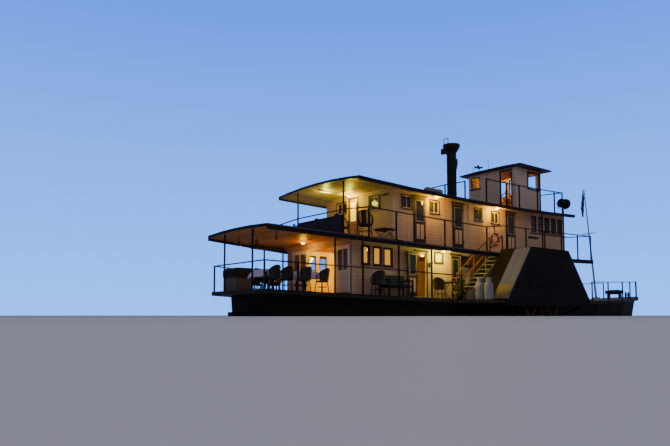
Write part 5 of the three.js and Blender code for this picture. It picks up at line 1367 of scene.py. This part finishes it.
addTube(bm, [(-2.252, -0.05, 7.16), (-2.19, -0.06, 7.16), (-2.17, -0.065, 7.18), (-2.17, -0.065, 7.30)], 0.018, 0, 10)
addTurned(bm, [(0.004, 0), (0.03, 0), (0.048, 0.02), (0.048, 0.07), (0.04, 0.075), (0.04, 0.085), (0.05, 0.09),
               (0.05, 0.32), (0.035, 0.35), (0.012, 0.36), (0.012, 0.39), (0.003, 0.395)],
          at(-2.17, -0.065, 7.28), 1, 18)
addBox(bm, (-2.255, -2.16), (-0.085, -0.045), (7.50, 7.53), 0)
makeObject(bm, "steam_whistle", ("gloss", "iron"), smooth=True)

# Helm: brass hub and cap on both faces
bm = bmesh.new()
for way in (-1, 1):
    addTurned(bm, [(0.004, 0.02), (0.075, 0.021), (0.078, 0.028), (0.05, 0.036), (0.032, 0.05), (0.02, 0.058),
                   (0.004, 0.06)], at(1.8, 0, 6.08, (way, 0, 0)), 0, 24)
makeObject(bm, "helm_hub_caps", ("brass",), "helm_wheel", smooth=True)

# Stern board: a plain moulding round both faces, nothing on it
bm = bmesh.new()
low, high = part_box("stern_board")
for x in ((low[0] - 0.014, low[0] - clear), (high[0] + clear, high[0] + 0.014)):
    for z in ((low[2] + 0.012, low[2] + 0.052), (high[2] - 0.052, high[2] - 0.012)):
        addBox(bm, x, (low[1] + 0.012, high[1] - 0.012), z, 0)
    for y in ((low[1] + 0.012, low[1] + 0.052), (high[1] - 0.052, high[1] - 0.012)):
        addBox(bm, x, y, (low[2] + 0.0522, high[2] - 0.0522), 0)
makeObject(bm, "stern_board_moulding", ("gloss",), bevel=0.004)

# Gas bottles: collar, valve with its wheel, weld line and foot ring
bm = bmesh.new()
for name in ("gas_bottle_1", "gas_bottle_2"):
    low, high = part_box(name)
    x, y, top = (low[0] + high[0]) / 2, (low[1] + high[1]) / 2, high[2]
    addTurned(bm, [(0.004, -0.01), (0.032, -0.01), (0.032, 0.012), (0.018, 0.02), (0.018, 0.05), (0.028, 0.055),
                   (0.028, 0.062), (0.004, 0.064)], at(x, y, top), 1, 16)
    addTurned(bm, [(0.102, -0.075), (0.108, -0.075), (0.112, 0.085), (0.106, 0.088), (0.100, 0.085)],
              at(x, y, top), 0, 28)
    addTurned(bm, [(0.1855, 0.0), (0.191, 0.003), (0.191, 0.009), (0.1855, 0.012)],
              at(x, y, (low[2] + high[2]) / 2 - 0.03), 0, 32)
    addTurned(bm, [(0.165, 0.002), (0.187, 0.002), (0.187, 0.03), (0.1855, 0.034)], at(x, y, low[2]), 2, 32)
makeObject(bm, "gas_bottle_fittings", ("pale", "brass", "iron"), smooth=True)

# Side bench: slats on the seat and on the back
low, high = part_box("side_bench")
itemBm = bmesh.new()
addBox(itemBm, (low[0] + 0.02, high[0] - 0.02), (-0.04, 0.04), (0.0, 0.014))
seatTop = mainTop(-8.65) + 0.43
seatSlats = repeated(rowTree, itemBm, "darkWood", {"Count": 5, "Start": Vector((0, -2.69, seatTop + 0.012)),
                                                   "Step": Vector((0, 0.1, 0.0)), "Jitter": 0.004})
itemBm = bmesh.new()
addBox(itemBm, (low[0] + 0.02, high[0] - 0.02), (0.0, 0.012), (0.0, 0.085))
backSlats = repeated(rowTree, itemBm, "darkWood", {"Count": 3, "Start": Vector((0, -2.243, high[2] - 0.36)),
                                                   "Step": Vector((0, 0, 0.115))})
gather("bench_slats", [seatSlats, backSlats])

# Railing posts' foot plates, each with four bolts round the post
def footPlate():
    itemBm = bmesh.new()
    addTurned(itemBm, [(0.0005, 0.012), (0.005, 0.012), (0.0065, 0.009), (0.0065, 0.0)], at(0, 0, 0.008), 0, 6)
    bolts = repeated(ringTree, itemBm, "gloss", {"Count": 4, "Radius": 0.052})
    bolts.transform(Matrix.Rotation(math.radians(45), 4, "Z"))
    plateBm = bmesh.new()
    addTurned(plateBm, [(0.036, 0.0), (0.066, 0.0), (0.066, 0.006), (0.062, 0.009), (0.042, 0.010), (0.038, 0.016),
                        (0.036, 0.016)], Matrix.Identity(4), 0, 16)
    return [bolts, toMesh(plateBm, "plate", [paints["gloss"]])]


rows = [("main_rail_feet", (-5.4, -7.2, -9.0, -10.5, -11.6, -13.0), mainTop, lambda x: planAt(mainPlan, x) - 0.11),
        ("upper_rail_feet", (3.585, 2.13, 0.69, -0.83, -2.3, -3.7, -6.4, -9.12), upperTop, lambda x: 2.95),
        ("top_rail_feet", (-3.15, -1.68, -0.7, 0.78, 2.24, 2.95), roofTop, lambda x: 2.55),
        ("foredeck_rail_feet", (4.9, 6.8, 8.7, 10.5, 12.2, 13.6), mainTop, lambda x: planAt(mainPlan, x) - 0.11)]
for name, xs, topAt, yAt in rows:
    meshes, places = [], []
    for x in xs:
        for side in (-1, 1):
            for mesh in footPlate():
                meshes.append(mesh)
                places.append(Matrix.Translation((x, side * yAt(x), topAt(x, yAt(x)) + 0.002)))
    gather(name, meshes, places=places, smooth=True)

# Curtains: gathered in even pleats behind the forward windows' glass
curtain = {"inset": 0.10, "deep": 0.022, "waves": 6, "drop": 0.82, "span": 0.46, "top": 4.92}
for sideName, side in sides:
    for number in range(1, strip["count"] + 1):
        x0, span = strip["from"] + (number - 1) * strip["pitch"] + 0.02, curtain["span"]
        _, wide = pleats(1.0, span, curtain["deep"], curtain["waves"])
        pleated, _ = pleats(wide, span, curtain["deep"], curtain["waves"])

        def hung(s, t, pleated=pleated, x0=x0, top=curtain["top"] + sheer(x0), side=side):
            ground = pleated(s)
            loose = 0.6 + 0.4 * t / curtain["drop"]
            return (x0 + ground.x, side * (cabin["half"] - curtain["inset"]) + ground.y * loose, top - t)

        sheet = makeSheet(f"curtain_{sideName}_{number}", hung, (wide, curtain["drop"]), (96, 12),
                          "curtain" if number < 3 else "darkCurtain")

# Windlass: whelps round the barrel and flanges on both rope drums
barrel = {"x": 12.9, "radius": 0.13, "half": 0.29}
axle = mainTop(barrel["x"]) + 0.38
itemBm = bmesh.new()
addBox(itemBm, (-0.008, 0.014), (-0.018, 0.018), (-barrel["half"], barrel["half"]), 0)
whelps = repeated(ringTree, itemBm, "iron", {"Count": 8, "Radius": barrel["radius"]})
whelps.transform(Matrix.Translation((barrel["x"], 0, axle)) @ Matrix.Rotation(math.pi / 2, 4, "X"))
gather("windlass_whelps", [whelps])
bm = bmesh.new()
for side in (-1, 1):
    for y in (0.412, 0.538):
        addTurned(bm, [(0.1005, -0.008), (0.116, -0.008), (0.118, 0.0), (0.116, 0.008), (0.1005, 0.008)],
                  at(barrel["x"], side * y, axle, (0, 1, 0)), 0, 24)
    addTurned(bm, [(0.001, 0.0003), (0.045, 0.0003), (0.045, 0.012), (0.02, 0.02), (0.001, 0.02)],
              at(barrel["x"], side * 0.56, axle, (0, side, 0)), 0, 16)
makeObject(bm, "windlass_flanges", ("iron",), smooth=True)

# Paddle wheels: a ring of hub bolts on both faces of each side frame
hub = {"x": -1.5, "z": 1.0, "frames": (3.44, 4.09), "thick": 0.05, "ring": 0.175}
itemBm = bmesh.new()
addTurned(itemBm, [(0.001, 0.030), (0.020, 0.030), (0.024, 0.024), (0.024, 0.0), (0.001, 0.0)], at(0, 0, 0.0004), 0, 6)
bolts = repeated(ringTree, itemBm, "redIron", {"Count": 12, "Radius": hub["ring"]})
meshes, places = [], []
for side in (-1, 1):
    for y in hub["frames"]:
        for face in (-1, 1):
            meshes.append(bolts.copy())
            places.append(at(hub["x"], side * y + face * hub["thick"] / 2, hub["z"], (0, face, 0)))
gather("paddle_hub_bolts", meshes, "paddle_wheels", places)
print("fittings: done")

# Stage: a pale floor at the water's level, soft daylight and the vessel's own lamps
bm = bmesh.new()
addLoft(bm, [[(x, y, z) for x, y in ((-150, -150), (150, -150), (150, 150), (-150, 150))] for z in (-0.02, 0.0)])
floorPaint = coat("floorFinish", (0.84, 0.84, 0.86), (0.80, 0.80, 0.82), (0.76, 0.76, 0.78), (0.6, 0.8), 0.05, 0.2,
                  0.02)
floor = bpy.data.objects.new("floor", toMesh(bm, "floor", [floorPaint]))
scene.collection.objects.link(floor)

world = bpy.data.worlds.new("sky")
scene.world = world
world.use_nodes = True
tree = world.node_tree
soft = connect(tree, tree.nodes["Background"], {"Color": (0.74, 0.80, 1.18), "Strength": 0.20})
height = axes(tree, addNode(tree, "ShaderNodeTexCoord").outputs["Generated"])["Z"]
dusk = addNode(tree, "ShaderNodeBackground", {"Strength": 1.0, "Color": tint(
    tree, spread(tree, height, 0.0, 0.45), (0.24, 0.86, 2.7), (0.07, 0.34, 1.75))})
seen = addNode(tree, "ShaderNodeLightPath").outputs["Is Camera Ray"]
mixed = addNode(tree, "ShaderNodeMixShader", {0: seen, 1: soft.outputs[0], 2: dusk.outputs[0]})
tree.links.new(mixed.outputs[0], tree.nodes["World Output"].inputs["Surface"])


def addLight(name, kind, place, power, colour, size, aim=None):
    light = bpy.data.lights.new(name, kind)
    light.energy, light.color = power, colour
    if kind == "AREA":
        light.size = size
    else:
        light.shadow_soft_size = size
    lamp = bpy.data.objects.new(name, light)
    scene.collection.objects.link(lamp)
    lamp.location = place
    if aim:
        lamp.rotation_euler = (Vector(aim) - Vector(place)).to_track_quat("-Z", "Y").to_euler()


addLight("keySoft", "AREA", (-30, -26, 22), 1250, (1.0, 0.93, 0.90), 18, (-2, 0, 3))
addLight("fillSoft", "AREA", (10, -34, 18), 420, (0.95, 0.93, 1.0), 20, (0, 0, 3))
for i, (place, power, colour) in enumerate(lampPlaces):
    addLight(f"lampLight{i}", "POINT", place, power, colour, 0.12)
